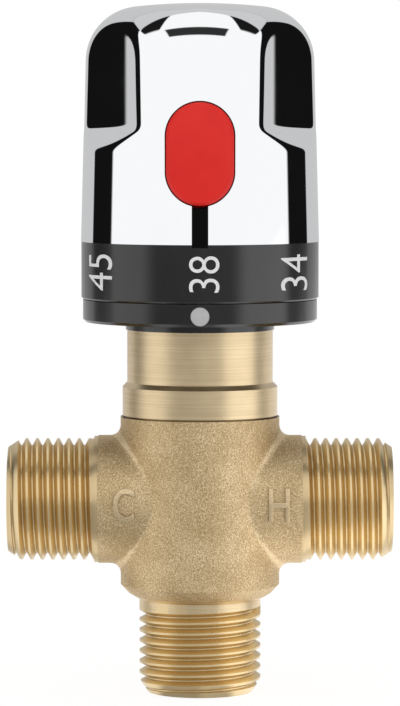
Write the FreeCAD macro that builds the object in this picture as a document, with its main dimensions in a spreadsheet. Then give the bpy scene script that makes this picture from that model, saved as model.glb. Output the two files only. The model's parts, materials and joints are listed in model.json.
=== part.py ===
import FreeCAD, Part
import os
import re

import Sketcher
from FreeCAD import Placement, Rotation, Vector

# A thermostatic mixing valve with G 1/2 ports: hot and cold water meet in a cast brass body,
# a wax element moves a shuttle between two seats, and a knob on top sets the temperature.
#
# Millimetres and degrees. The origin is the centre of the outlet's end face, +Z runs up the
# spindle to the knob, -Y is the front with the pointer dot, +X is the hot side, -X the cold side.

# ---------------------------------------------------------------------------------------------
# Driving sizes
# ---------------------------------------------------------------------------------------------

SIZES = [
    # The casting
    ("port_height", 33.35, "side ports' axis above the outlet's end face"),
    ("port_reach", 33.05, "side ports' end faces from the spindle's axis"),
    ("thread_major", 20.955, "major diameter of the G 1/2 thread"),
    ("thread_lead_in", 1.45, "radial cut of the chamfer at a port's end"),
    ("thread_lead_in_long", 2.2, "length of that chamfer"),
    ("inlet_bore", 15.0, "bore of a side port"),
    ("inlet_depth", 17.05, "depth of that bore from the port's end face"),
    ("outlet_bore", 14.0, "bore of the outlet"),
    ("branch_dia", 22.1, "cast branch that carries a side port's thread"),
    ("branch_end", 18.2, "shoulder of the branch from the spindle's axis"),
    ("facing_wide", 0.7, "turned strip at the branch's shoulder"),
    ("facing_step", 0.15, "depth of that strip below the cast skin"),
    ("barrel_dia", 27.4, "cast barrel"),
    ("shoulder_height", 16.2, "barrel's shoulder above the outlet's end face"),
    ("foot_ledge", 0.15, "flat ring on the foot round the outlet's thread"),
    ("foot_slope", 1.1, "height of the flat slope on the barrel's foot"),
    ("foot_bevel_wide", 1.3, "width of the steeper bevel between that slope and the barrel's side"),
    ("foot_bevel_tall", 1.4, "height of that bevel"),
    ("barrel_rise", 14.35, "top of the cast skin above the side ports' axis"),
    ("groove_tall", 0.3, "turned groove at the top of the cast skin"),
    ("groove_deep", 0.35, "depth of that groove below the turned band"),
    ("band_dia", 26.7, "turned band above the cast skin"),
    ("band_tall", 5.2, "height of the turned band"),
    ("neck_dia", 25.1, "neck that carries the collar"),
    ("neck_rise", 12.1, "top of the neck above the turned band"),
    ("branch_fillet", 1.8, "cast fillet between branch and barrel"),
    # The chamber
    ("chamber_dia", 20.5, "bore that the shuttle and the bonnet fit"),
    ("gallery_dia", 22.6, "rings of the hot and the cold gallery"),
    ("seat_reach", 7.35, "hot seat below and cold seat above the side ports' axis"),
    ("land_tall", 2.6, "land between the two galleries"),
    ("passage_offset", 4.3, "hot passage below and cold passage above the side ports' axis"),
    ("passage_wide", 11.0, "width of a passage"),
    ("passage_tall", 5.6, "height of a passage"),
    ("bonnet_undercut", 0.75, "relief between the chamber and the bonnet's thread"),
    ("spring_room_dia", 16.6, "bore round the return spring"),
    ("ledge_rise", 1.3, "ledge under the return spring above the barrel's shoulder"),
    ("slide_play", 0.08, "radial play of a sliding or turning fit"),
    ("seat_play", 0.05, "radial gap of a fit that stays put"),
    ("end_gap", 0.1, "gap along the axis between pieces that turn past each other"),
    ("moulded_gap", 0.3, "gap round a moulded piece that must not rub"),
    ("root", 0.5, "depth that a joined form reaches into the one that carries it"),
    ("past", 1.0, "way that a cut runs past the face it opens"),
    # Shuttle and wax element
    ("shuttle_lift", 0.8, "shuttle's way to either seat at 38 degrees"),
    ("shuttle_dia", 18.8, "shuttle's wall beside the galleries"),
    ("shuttle_mouth", 16.4, "shuttle's bore below its spider"),
    ("shuttle_bore", 15.2, "shuttle's bore above its spider's foot"),
    ("shuttle_land", 4.3, "height of the shuttle's guiding land"),
    ("spider_drop", 4.35, "spider's foot below the side ports' axis"),
    ("spider_tall", 2.5, "thickness of the spider"),
    ("spider_hub_dia", 12.6, "spider's hub"),
    ("spoke_wide", 2.2, "width of a spoke"),
    ("spoke_count", 4, "spokes of the spider"),
    ("bulb_dia", 9.2, "copper bulb of the wax element"),
    ("bulb_long", 18.5, "length of the bulb below the spider"),
    ("element_flange_dia", 12.0, "flange of the wax element"),
    ("element_flange_tall", 2.0, "thickness of that flange"),
    ("guide_dia", 7.2, "guide of the wax element"),
    ("guide_tall", 8.0, "height of the guide above the flange"),
    ("pin_dia", 3.0, "push pin"),
    ("pin_long", 12.5, "length of the push pin"),
    ("pin_room", 2.7, "room under the push pin in the guide"),
    # Rubber rings
    ("ring_groove_deep", 1.25, "depth of their grooves"),
    ("ring_groove_tall", 1.9, "width of their grooves"),
    ("ring_bulge", 1.2, "height of a squeezed rubber ring against its width"),
    # Bonnet and spindle
    ("bonnet_thread", 22.0, "thread of the bonnet in the neck"),
    ("bonnet_thread_rise", 0.1, "lower end of that thread above the turned band"),
    ("bonnet_ring_rise", 4.2, "centre of the bonnet's rubber ring above the cold seat"),
    ("hexagon", 22.0, "bonnet's hexagon across flats"),
    ("hexagon_tall", 2.5, "height of the hexagon"),
    ("carrier_bore", 14.6, "bore of the bonnet that guides the carrier nut"),
    ("boss_dia", 15.2, "boss on the bonnet that carries the stop ring"),
    ("boss_tall", 3.5, "height of the boss above the hexagon"),
    ("journal_dia", 10.0, "spindle's journal"),
    ("spindle_flange_dia", 13.8, "spindle's thrust flange"),
    ("spindle_flange_tall", 1.6, "thickness of that flange"),
    ("bonnet_web", 4.3, "bonnet's web above the thrust flange"),
    ("spindle_thread", 9.0, "spindle's thread in the carrier nut"),
    ("spindle_thread_long", 7.6, "length of that thread"),
    ("spline_dia", 9.2, "spindle's splined end"),
    ("spline_long", 10.9, "length of the splines"),
    ("spline_count", 12, "grooves of the splines"),
    ("spline_wide", 1.0, "width of a spline groove"),
    ("spline_deep", 0.5, "depth of a spline groove"),
    ("snap_wire", 0.9, "thickness of the snap rings"),
    ("snap_deep", 0.8, "depth of the snap rings' grooves"),
    ("screw_dia", 4.0, "screw that holds the adapter"),
    ("screw_long", 9.5, "length of that screw"),
    ("screw_head_dia", 7.0, "head of that screw"),
    ("screw_head_tall", 2.4, "height of that head"),
    ("screw_socket", 2.5, "hexagon socket of that screw, across flats"),
    # Carrier nut with its overtravel spring
    ("carrier_rise", 4.8, "foot of the carrier nut above the cold seat"),
    ("carrier_tall", 14.5, "height of the carrier nut"),
    ("carrier_room", 11.8, "bore of the carrier nut round the overtravel spring"),
    ("carrier_web", 5.5, "threaded web at the top of the carrier nut"),
    ("carrier_ring_rise", 1.0, "snap ring above the carrier nut's foot"),
    ("key_wide", 2.8, "width of the carrier nut's two keys"),
    ("key_deep", 1.0, "height of those keys"),
    ("cup_flange_tall", 1.2, "flange of the thrust cup"),
    ("cup_dia", 6.8, "stem of the thrust cup"),
    ("cup_drop", 0.6, "thrust cup's stem below the carrier nut"),
    ("cup_rise", 3.0, "thrust cup's stem above its flange"),
    # Springs
    ("return_wire", 1.0, "wire of the return spring"),
    ("return_turns", 4, "turns of the return spring"),
    ("overtravel_wire", 1.1, "wire of the overtravel spring"),
    ("overtravel_turns", 3, "turns of the overtravel spring"),
    ("button_wire", 0.6, "wire of the button's spring"),
    ("button_turns", 4, "turns of the button's spring"),
    ("check_wire", 0.5, "wire of a check valve's spring"),
    ("check_turns", 4, "turns of a check valve's spring"),
    ("spring_play", 0.2, "gap beside a spring"),
    ("spring_end_gap", 0.02, "gap at either end of a spring"),
    # Collar and stops
    ("collar_dia", 40.3, "fixed collar under the knob"),
    ("collar_hang", 0.9, "underside of the collar below the top of the neck"),
    ("collar_tall", 3.85, "height of the collar"),
    ("collar_hub_dia", 28.4, "collar's hub round the neck"),
    ("collar_hub_drop", 0.7, "hub below the collar's underside"),
    ("collar_floor", 1.7, "floor of the collar"),
    ("collar_clamp", 1.0, "collar's inner flange between the neck and the bonnet"),
    ("collar_rim", 1.8, "rim of the collar"),
    ("collar_clear", 0.5, "room in the collar round the hexagon's corners"),
    ("collar_round", 0.5, "bevel of the collar's lower edge"),
    ("dot_dia", 3.2, "pointer dot on the collar"),
    ("dot_rise", 1.8, "centre of the pointer dot above the collar's underside"),
    ("dot_deep", 0.2, "depth of the pointer dot's recess"),
    ("stop_ring_tall", 2.0, "thickness of the stop ring"),
    ("stop_tall", 3.0, "height of the stops on the ring"),
    ("stop_inner_dia", 23.0, "inside of the end stop block"),
    ("stop_wide", 1.5, "radial width of the end stop block"),
    ("finger_sweep", 12.0, "width of the adapter's stop finger, in degrees"),
    ("stop_margin", 1.5, "gap between finger and block at either end, in degrees"),
    ("cold_turn", 160.0, "knob's way from 38 towards cold, in degrees"),
    ("hot_turn", 61.0, "knob's way from 38 to 45, in degrees"),
    ("lug_start", 13.0, "38 degree lug's first flank past the dot, in degrees"),
    ("lug_sweep", 7.0, "width of the 38 degree lug, in degrees"),
    ("lug_wide", 1.6, "radial width of the 38 degree lug"),
    ("lug_reach", 0.65, "lug's outside past the front of the button's tongue"),
    # Knob
    ("seam_gap", 0.15, "running gap between collar and scale ring"),
    ("scale_step", 0.27, "side of the scale ring outside the collar's"),
    ("scale_tall", 9.8, "height of the scale ring"),
    ("scale_wall", 2.8, "wall of the scale ring"),
    ("scale_edge", 0.25, "small bevel on the edges of the scale ring and the knob"),
    ("spigot_tall", 4.4, "scale ring's spigot inside the cap"),
    ("spigot_wall", 1.6, "wall of that spigot"),
    ("key_strip_wide", 2.66, "scale ring's key in the cap's skirt"),
    ("cap_high_dia", 39.32, "cap where its side meets the rounded shoulder"),
    ("cap_taper", 1.5, "taper of the cap's side, in degrees"),
    ("cap_tall", 40.8, "height of the cap"),
    ("cap_dome", 105.0, "radius of the cap's slightly domed top"),
    ("cap_shoulder", 9.5, "rounding between the cap's side and its top"),
    ("cap_wall", 2.3, "wall of the cap"),
    ("cap_thin_wall", 2.0, "wall beside the scallops"),
    ("scallop_count", 3, "scallops round the cap"),
    ("scallop_radius", 42.24, "radius of a scallop"),
    ("scallop_middle", 17.06, "a scallop's deepest line from the spindle's axis"),
    ("scallop_tall", 21.3, "height of a scallop's wall, up to the cap's top"),
    ("scallop_slope", 48.0, "slope of the ledge below a scallop, in degrees"),
    ("scallop_round", 0.5, "rounding of the scallops' edges"),
    ("cap_roof", 2.5, "roof of the cap"),
    # Button
    ("button_rise", 15.2, "centre of the button above the cap's lower edge"),
    ("button_wide", 11.4, "width of the button"),
    ("button_tall", 17.3, "height of the button"),
    ("button_gap", 0.22, "gap round the button"),
    ("button_proud", 0.75, "button stands proud of the cap"),
    ("button_round", 0.5, "bevel of the button's rim"),
    ("button_lip", 1.1, "button's lip behind the cap's wall"),
    ("lip_thick", 1.2, "thickness of that lip"),
    ("lip_gap", 0.15, "gap between that lip and the inside of the wall"),
    ("button_travel", 1.5, "way of the button"),
    ("tongue_wide", 6.0, "tongue that reaches down to the 38 degree lug"),
    ("tongue_gap", 0.3, "gap between the tongue and the 38 degree lug"),
    # Adapter
    ("adapter_hub_dia", 15.6, "hub on the spindle"),
    ("adapter_web_rise", 1.6, "underside of the adapter's web above the cap's lower edge"),
    ("adapter_web_tall", 2.0, "thickness of the adapter's web"),
    ("adapter_rim_wall", 1.5, "wall of the adapter's rim"),
    ("adapter_rim_drop", 1.4, "lower edge of the adapter's rim below the cap's lower edge"),
    ("adapter_flange_tall", 1.2, "flange that clamps the scale ring's spigot in the cap"),
    ("notch_wide", 8.4, "notch for the button's tongue"),
    ("post_wide", 10.0, "post behind the button's spring"),
    ("post_thick", 2.0, "thickness of that post"),
    ("post_rise", 4.9, "top of that post above the button's centre"),
    ("post_front", 9.6, "front of that post from the spindle's axis"),
    ("peg_dia", 4.0, "peg that centres the button's spring"),
    ("peg_long", 2.4, "length of that peg"),
    # Check valve cartridges
    ("check_dia", 14.8, "housing in the port's bore"),
    ("check_long", 12.0, "length of the housing"),
    ("check_room", 10.8, "chamber in the housing"),
    ("check_web", 1.8, "web that holds the check valve's seat"),
    ("check_seat_dia", 7.8, "opening of the seat"),
    ("strainer_deep", 1.2, "recess for the strainer"),
    ("check_spider", 2.0, "thickness of the inner spider"),
    ("check_hub_dia", 4.4, "hub that guides the stem"),
    ("check_hub_long", 4.0, "length of that hub"),
    ("check_arm_wide", 1.4, "width of the spider's three arms"),
    ("stem_dia", 2.4, "stem of the poppet"),
    ("poppet_dia", 9.4, "poppet"),
    ("poppet_tall", 1.4, "thickness of the poppet"),
    ("washer_tall", 0.4, "rubber washer on the poppet"),
    ("poppet_travel", 2.2, "way of the poppet"),
    ("check_groove_reach", 5.0, "rubber ring's centre from the housing's inner end"),
    ("strainer_mesh", 0.4, "thickness of the strainer's sheet"),
    ("strainer_rim", 0.9, "width of the strainer's rim"),
    ("strainer_hole", 2.2, "holes of the strainer"),
]

# Places that follow from the sizes. Each is written once and used by every piece that meets there.
DERIVED = {
    "ring_cord": "ring_groove_deep + seat_play / 2",
    "thread_radius": "thread_major / 2",
    "mouth_radius": "thread_radius - thread_lead_in",
    "inlet_end": "port_reach - inlet_depth",
    "branch_radius": "branch_dia / 2",
    "under_branch": "port_height - branch_radius - shoulder_height - foot_slope - foot_bevel_tall",
    "barrel_radius": "barrel_dia / 2",
    "barrel_top": "port_height + barrel_rise",
    "band_top": "barrel_top + band_tall",
    "neck_top": "band_top + neck_rise",
    "neck_radius": "neck_dia / 2",
    "neck_cone": "(band_dia - neck_dia) / 2",
    "chamber_radius": "chamber_dia / 2",
    "gallery_radius": "gallery_dia / 2",
    "hot_seat": "port_height - seat_reach",
    "cold_seat": "port_height + seat_reach",
    "land_low": "port_height - land_tall / 2",
    "land_high": "port_height + land_tall / 2",
    "spring_room_radius": "spring_room_dia / 2",
    "spring_ledge": "shoulder_height + ledge_rise",
    "shuttle_low": "hot_seat + shuttle_lift",
    "shuttle_high": "cold_seat - shuttle_lift",
    "shuttle_guide_radius": "chamber_radius - slide_play",
    "spider_low": "port_height - spider_drop",
    "spider_high": "spider_low + spider_tall",
    "bulb_low": "spider_high - bulb_long",
    "flange_high": "spider_high + element_flange_tall",
    "guide_high": "flange_high + guide_tall",
    "carrier_low": "cold_seat + carrier_rise",
    "carrier_ring_low": "carrier_low + carrier_ring_rise",
    "cup_flange_low": "carrier_ring_low + snap_wire",
    "cup_flange_high": "cup_flange_low + cup_flange_tall",
    "cup_low": "carrier_low - cup_drop",
    "pin_high": "cup_flange_high + cup_rise / 3",
    "pin_low": "pin_high - pin_long",
    "carrier_high": "carrier_low + carrier_tall",
    "carrier_web_low": "carrier_high - carrier_web",
    "carrier_radius": "carrier_bore / 2 - slide_play",
    "key_radius": "carrier_bore / 2 + key_deep",
    "bonnet_radius": "chamber_radius - seat_play",
    "bonnet_thread_radius": "bonnet_thread / 2",
    "bonnet_thread_low": "band_top + bonnet_thread_rise",
    "bonnet_ring_height": "cold_seat + bonnet_ring_rise",
    "flange_seat": "neck_top + collar_clamp",
    "hexagon_top": "flange_seat + hexagon_tall",
    "boss_top": "hexagon_top + boss_tall",
    "web_low": "hexagon_top - bonnet_web",
    "journal_radius": "journal_dia / 2",
    "spindle_flange_low": "web_low - spindle_flange_tall",
    "spindle_low": "spindle_flange_low - spindle_thread_long",
    "snap_low": "boss_top + end_gap",
    "spline_low": "snap_low + snap_wire + end_gap",
    "spindle_top": "spline_low + spline_long",
    "hub_top": "spindle_top + 2 * end_gap",
    "spline_radius": "spline_dia / 2",
    "spindle_ring_height": "web_low + bonnet_web / 2",
    "stop_top": "hexagon_top + stop_ring_tall + stop_tall",
    "stop_ring_top": "hexagon_top + stop_ring_tall",
    "stop_inner": "stop_inner_dia / 2",
    "stop_outer": "stop_inner + stop_wide",
    "lug_outer": "lip_front + lug_reach",
    "lug_inner": "lug_outer - lug_wide",
    "block_sweep": "360 - cold_turn - hot_turn - finger_sweep - 2 * stop_margin",
    "block_middle": "(hot_turn - cold_turn) / 2 + 180",
    "collar_radius": "collar_dia / 2",
    "collar_low": "neck_top - collar_hang",
    "collar_top": "collar_low + collar_tall",
    "dot_height": "collar_low + dot_rise",
    "collar_bore": "neck_radius + seat_play",
    "scale_low": "collar_top + seam_gap",
    "cap_low": "scale_low + scale_tall",
    "cap_top": "cap_low + cap_tall",
    "cap_room_top": "cap_top - cap_roof",
    "scallop_low": "cap_top - scallop_tall",
    "button_height": "cap_low + button_rise",
    "adapter_web_low": "cap_low + adapter_web_rise",
    "adapter_rim_low": "cap_low - adapter_rim_drop",
    "post_high": "button_height + post_rise",
    "scale_radius": "collar_radius + scale_step",
    "scale_inner": "scale_radius - scale_wall",
    "spigot_top": "cap_low + spigot_tall",
    "cap_skirt_inner": "cap_radius_low - cap_wall",
    "spigot_radius": "cap_skirt_inner - seat_play",
    "spigot_inner": "spigot_radius - spigot_wall",
    "adapter_rim": "spigot_inner - seat_play",
    "adapter_flange_top": "spigot_top + adapter_flange_tall",
    "cap_radius_high": "cap_high_dia / 2",
    "dome_centre": "cap_top - cap_dome",
    "shoulder_radius": "cap_radius_high - cap_shoulder * cos(cap_taper)",
    "shoulder_height_in_cap":
        "dome_centre + sqrt((cap_dome - cap_shoulder) * (cap_dome - cap_shoulder) - shoulder_radius * shoulder_radius)",
    "cap_side_top": "shoulder_height_in_cap + cap_shoulder * sin(cap_taper)",
    "cap_radius_low": "cap_radius_high + (cap_side_top - cap_low) * tan(cap_taper)",
    "dome_edge": "shoulder_radius * cap_dome / (cap_dome - cap_shoulder)",
    "dome_edge_height":
        "dome_centre + (shoulder_height_in_cap - dome_centre) * cap_dome / (cap_dome - cap_shoulder)",
    "scallop_centre": "scallop_middle + scallop_radius",
    "cap_room_radius": "cap_radius_high - cap_thin_wall",
    "ledge_low": "scallop_low - (cap_radius_low - scallop_middle) * tan(scallop_slope)",
    "cap_radius_button": "cap_radius_low - (button_height - cap_low) * tan(cap_taper)",
    "button_face": "cap_radius_button + button_proud",
    "window_wide": "button_wide + 2 * button_gap",
    "window_tall": "button_tall + 2 * button_gap",
    "window_low": "button_height - window_tall / 2",
    "lip_wide": "button_wide + 2 * button_lip",
    "lip_tall": "button_tall + 2 * button_lip",
    "lip_front": "sqrt(cap_room_radius * cap_room_radius - lip_wide * lip_wide / 4) - lip_gap",
    "lip_back": "lip_front - lip_thick",
    "tongue_low": "stop_top + tongue_gap",
    "check_outer_end": "inlet_end + check_long",
    "check_recess": "check_outer_end - strainer_deep",
    "check_seat_place": "check_recess - check_web",
    "poppet_back": "check_seat_place - washer_tall - poppet_tall",
    "check_room_start": "inlet_end + check_spider",
    "stem_end": "inlet_end + poppet_travel + 2 * end_gap",
    "groove_reach": "inlet_end + check_groove_reach",
}

NAMES = {name for name, size, note in SIZES}
WORD = re.compile(r"[a-z][a-z0-9_]*")

doc = FreeCAD.newDocument("thermostatic_mixing_valve")
sheet = doc.addObject("Spreadsheet::Sheet", "Sizes")
for row, (name, size, note) in enumerate(SIZES, start=1):
    sheet.set("A%d" % row, name)
    sheet.set("B%d" % row, str(size))
    sheet.set("C%d" % row, note)
    sheet.setAlias("B%d" % row, name)
doc.recompute()


def bound(text):
    """The same expression with every size read from the sheet."""
    def swap(found):
        word = found.group(0)
        if word in DERIVED:
            return "(" + bound(DERIVED[word]) + ")"
        if word in NAMES:
            return "Sizes." + word
        return word
    return WORD.sub(swap, str(text))


def value(text):
    """What an expression comes to now, in millimetres or degrees."""
    return float(sheet.evalExpression(bound(text)))


# ---------------------------------------------------------------------------------------------
# Ways of making
# ---------------------------------------------------------------------------------------------

made = []


def new_body(label):
    """An empty body whose label names the sub-part."""
    body = doc.addObject("PartDesign::Body", "Body_" + label)
    body.Label = label
    made.append(body)
    return body


def origin_of(body, role):
    """One of the body's own planes or axes."""
    return [part for part in body.Origin.OriginFeatures if part.Role == role][0]


def new_sketch(body, name, plane, lift, across, along, swing):
    """An empty sketch on one of the body's planes, shifted and swung by bound expressions."""
    sketch = body.newObject("Sketcher::SketchObject", name)
    sketch.AttachmentSupport = (origin_of(body, plane), "")
    sketch.MapMode = "FlatFace"
    for end, text in (("x", across), ("y", along), ("z", lift)):
        if text:
            sketch.setExpression("AttachmentOffset.Base." + end, bound(text))
    if swing:
        upright = Vector(0, 1, 0)
        sketch.AttachmentOffset = Placement(Vector(0, 0, 0), Rotation(upright, value(swing)))
        sketch.setExpression("AttachmentOffset.Rotation.Angle", bound(swing))
    return sketch


def outline(body, name, points, plane="XZ_Plane", lift=None, across=None, along=None, swing=None):
    """A closed outline. A corner is (across, up); with a centre's (across, up) after it, it starts an arc."""
    sketch = new_sketch(body, name, plane, lift, across, along, swing)
    places = [Vector(value(corner[0]), value(corner[1]), 0) for corner in points]
    count = len(points)
    for index, corner in enumerate(points):
        start = places[index]
        end = places[(index + 1) % count]
        if len(corner) == 4:
            centre = Vector(value(corner[2]), value(corner[3]), 0)
            circle = Part.Circle(centre, Vector(0, 0, 1), start.distanceToPoint(centre))
            first, last = circle.parameter(start), circle.parameter(end)
            sketch.addGeometry(Part.ArcOfCircle(circle, first, last), False)
        else:
            sketch.addGeometry(Part.LineSegment(start, end), False)
    for index in range(count):
        sketch.addConstraint(Sketcher.Constraint("Coincident", index, 2, (index + 1) % count, 1))
    for index, corner in enumerate(points):
        for kind, text, seed in (("DistanceX", corner[0], places[index].x),
                                 ("DistanceY", corner[1], places[index].y)):
            number = sketch.addConstraint(Sketcher.Constraint(kind, -1, 1, index, 1, seed))
            sketch.setExpression("Constraints[%d]" % number, bound(text))
        if len(corner) == 4:
            seed = value(corner[2])
            number = sketch.addConstraint(Sketcher.Constraint("DistanceX", -1, 1, index, 3, seed))
            sketch.setExpression("Constraints[%d]" % number, bound(corner[2]))
    return sketch


def disc(body, name, radius, plane="XY_Plane", lift=None, middle=("0", "0")):
    """A round outline."""
    sketch = new_sketch(body, name, plane, lift, None, None, None)
    centre = Vector(value(middle[0]), value(middle[1]), 0)
    sketch.addGeometry(Part.Circle(centre, Vector(0, 0, 1), value(radius)), False)
    number = sketch.addConstraint(Sketcher.Constraint("Radius", 0, value(radius)))
    sketch.setExpression("Constraints[%d]" % number, bound(radius))
    for kind, text, seed in (("DistanceX", middle[0], centre.x), ("DistanceY", middle[1], centre.y)):
        number = sketch.addConstraint(Sketcher.Constraint(kind, -1, 1, 0, 3, seed))
        sketch.setExpression("Constraints[%d]" % number, bound(text))
    return sketch


def rounded_slot(body, name, wide, tall, height, plane="XZ_Plane", lift=None, lying=False):
    """An obround outline about (0, height), upright or lying."""
    sketch = new_sketch(body, name, plane, lift, None, None, None)
    radius = "(%s) / 2" % (tall if lying else wide)
    half = "((%s) - (%s)) / 2" % ((wide, tall) if lying else (tall, wide))
    centres = []
    for sign in ("-", "+"):
        if lying:
            centres.append(("0 %s %s" % (sign, half), "(%s)" % height))
        else:
            centres.append(("0", "(%s) %s %s" % (height, sign, half)))
    first = Vector(value(centres[0][0]), value(centres[0][1]), 0)
    second = Vector(value(centres[1][0]), value(centres[1][1]), 0)
    along = (second - first).normalize()
    side = Vector(along.y, -along.x, 0) * value(radius)
    out = along * value(radius)
    sketch.addGeometry(Part.Arc(first - side, first - out, first + side), False)
    sketch.addGeometry(Part.LineSegment(first + side, second + side), False)
    sketch.addGeometry(Part.Arc(second + side, second + out, second - side), False)
    sketch.addGeometry(Part.LineSegment(second - side, first - side), False)
    join_slot(sketch)
    number = sketch.addConstraint(Sketcher.Constraint("Radius", 0, value(radius)))
    sketch.setExpression("Constraints[%d]" % number, bound(radius))
    for arc, middle in ((0, centres[0]), (2, centres[1])):
        for kind, text in (("DistanceX", middle[0]), ("DistanceY", middle[1])):
            number = sketch.addConstraint(Sketcher.Constraint(kind, -1, 1, arc, 3, value(text)))
            sketch.setExpression("Constraints[%d]" % number, bound(text))
    return sketch


def join_slot(sketch):
    """Ties an obround's two arcs and two lines end to end, each line tangent to both arcs."""
    for line in (1, 3):
        for arc in (0, 2):
            pairs = []
            for line_end in (1, 2):
                for arc_end in (1, 2):
                    gap = sketch.getPoint(line, line_end).distanceToPoint(sketch.getPoint(arc, arc_end))
                    pairs.append((gap, line_end, arc_end))
            gap, line_end, arc_end = min(pairs)
            sketch.addConstraint(Sketcher.Constraint("Tangent", line, line_end, arc, arc_end))


def step(body, feature):
    """Rebuilds the model and stops if the feature changed nothing."""
    before = getattr(feature.BaseFeature, "Shape", None)
    old = before.Volume if before else 0.0
    doc.recompute()
    if "Invalid" in feature.State or "Error" in feature.State:
        raise RuntimeError("%s: %s failed" % (body.Label, feature.Label))
    if abs(feature.Shape.Volume - old) < 1e-6:
        raise RuntimeError("%s: %s changed nothing" % (body.Label, feature.Label))
    return feature


def turn(body, name, points, cut=False, angle="360", axis="V_Axis", both=False, **place):
    """A solid, or a cut, turned from an outline."""
    sketch = outline(body, name + "_outline", points, **place)
    feature = body.newObject("PartDesign::Groove" if cut else "PartDesign::Revolution", name)
    feature.Profile = sketch
    feature.ReferenceAxis = (sketch, [axis])
    feature.Midplane = both
    feature.setExpression("Angle", bound(angle))
    return step(body, feature)


def push(body, name, sketch, length, cut=False, other_way=False, both=False):
    """A solid, or a cut, pushed out from an outline."""
    feature = body.newObject("PartDesign::Pocket" if cut else "PartDesign::Pad", name)
    feature.Profile = sketch
    feature.Reversed = other_way
    feature.Midplane = both
    feature.setExpression("Length", bound(length))
    return step(body, feature)


def repeat_round(body, name, feature, count):
    """The feature, repeated about the body's upright axis."""
    pattern = body.newObject("PartDesign::PolarPattern", name)
    pattern.Originals = [feature]
    pattern.Axis = (origin_of(body, "Z_Axis"), [""])
    pattern.Angle = 360
    pattern.setExpression("Occurrences", bound(count))
    body.Tip = pattern
    return step(body, pattern)


def soften(body, name, size, wanted, bevel=False):
    """A fillet, or a bevel, on each edge that wanted() picks."""
    base = body.Tip
    edges = ["Edge%d" % (index + 1) for index, edge in enumerate(base.Shape.Edges) if wanted(edge)]
    if not edges:
        raise RuntimeError("%s: %s found no edge" % (body.Label, name))
    feature = body.newObject("PartDesign::Chamfer" if bevel else "PartDesign::Fillet", name)
    feature.Base = (base, edges)
    feature.setExpression("Size" if bevel else "Radius", bound(size))
    return step(body, feature)


def ring_edge(radius, height):
    """Picks the circle of a turned shape at this radius and height."""
    wanted_radius, wanted_height = value(radius), value(height)

    def wanted(edge):
        if edge.Degenerated or not isinstance(edge.Curve, Part.Circle):
            return False
        level = abs(edge.BoundBox.ZMin - wanted_height) + abs(edge.BoundBox.ZMax - wanted_height) < 1e-4
        return level and abs(edge.Curve.Radius - wanted_radius) < 1e-4
    return wanted


def coil(label, mean, wire, low, high, turns):
    """A compression spring between two levels, wound about the body's upright axis. Its wire is six-sided."""
    body = new_body(label)
    start = "(%s) + %s / 2 + spring_end_gap" % (low, wire)
    corners = [("%s + %s / 2 * cos(%d)" % (mean, wire, angle), "%s + %s / 2 * sin(%d)" % (start, wire, angle))
               for angle in range(30, 390, 60)]
    sketch = outline(body, "Wire", corners)
    feature = body.newObject("PartDesign::AdditiveHelix", "Turns")
    feature.Profile = sketch
    feature.ReferenceAxis = (sketch, ["V_Axis"])
    feature.Mode = "height-turns-angle"
    feature.setExpression("Height", bound("(%s) - (%s) - %s - 2 * spring_end_gap" % (high, low, wire)))
    feature.setExpression("Turns", bound(turns))
    step(body, feature)
    return body


def rubber_ring(label, inner, height):
    """A rubber ring about the upright axis, as squeezed into its groove."""
    body = new_body(label)
    middle = "(%s) + ring_cord / 2" % inner
    outer = "(%s) + ring_cord" % inner
    turn(body, "Ring", [
        (inner, "(%s) - ring_cord / 4" % height),
        (middle, "(%s) - ring_cord * ring_bulge / 2" % height),
        (outer, "(%s) - ring_cord / 4" % height),
        (outer, "(%s) + ring_cord / 4" % height),
        (middle, "(%s) + ring_cord * ring_bulge / 2" % height),
        (inner, "(%s) + ring_cord / 4" % height),
    ])
    return body


def ring_groove(body, name, surface, height):
    """The groove of a rubber ring in the outside of a turned piece."""
    low = "(%s) - ring_groove_tall / 2" % height
    high = "(%s) + ring_groove_tall / 2" % height
    floor = "(%s) - ring_groove_deep" % surface
    beyond = "(%s) + 1" % surface
    turn(body, name, [(floor, low), (beyond, low), (beyond, high), (floor, high)], cut=True)


def box_points(left, right, low, high):
    return [(left, low), (right, low), (right, high), (left, high)]


# ---------------------------------------------------------------------------------------------
# Valve body
# ---------------------------------------------------------------------------------------------

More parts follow.
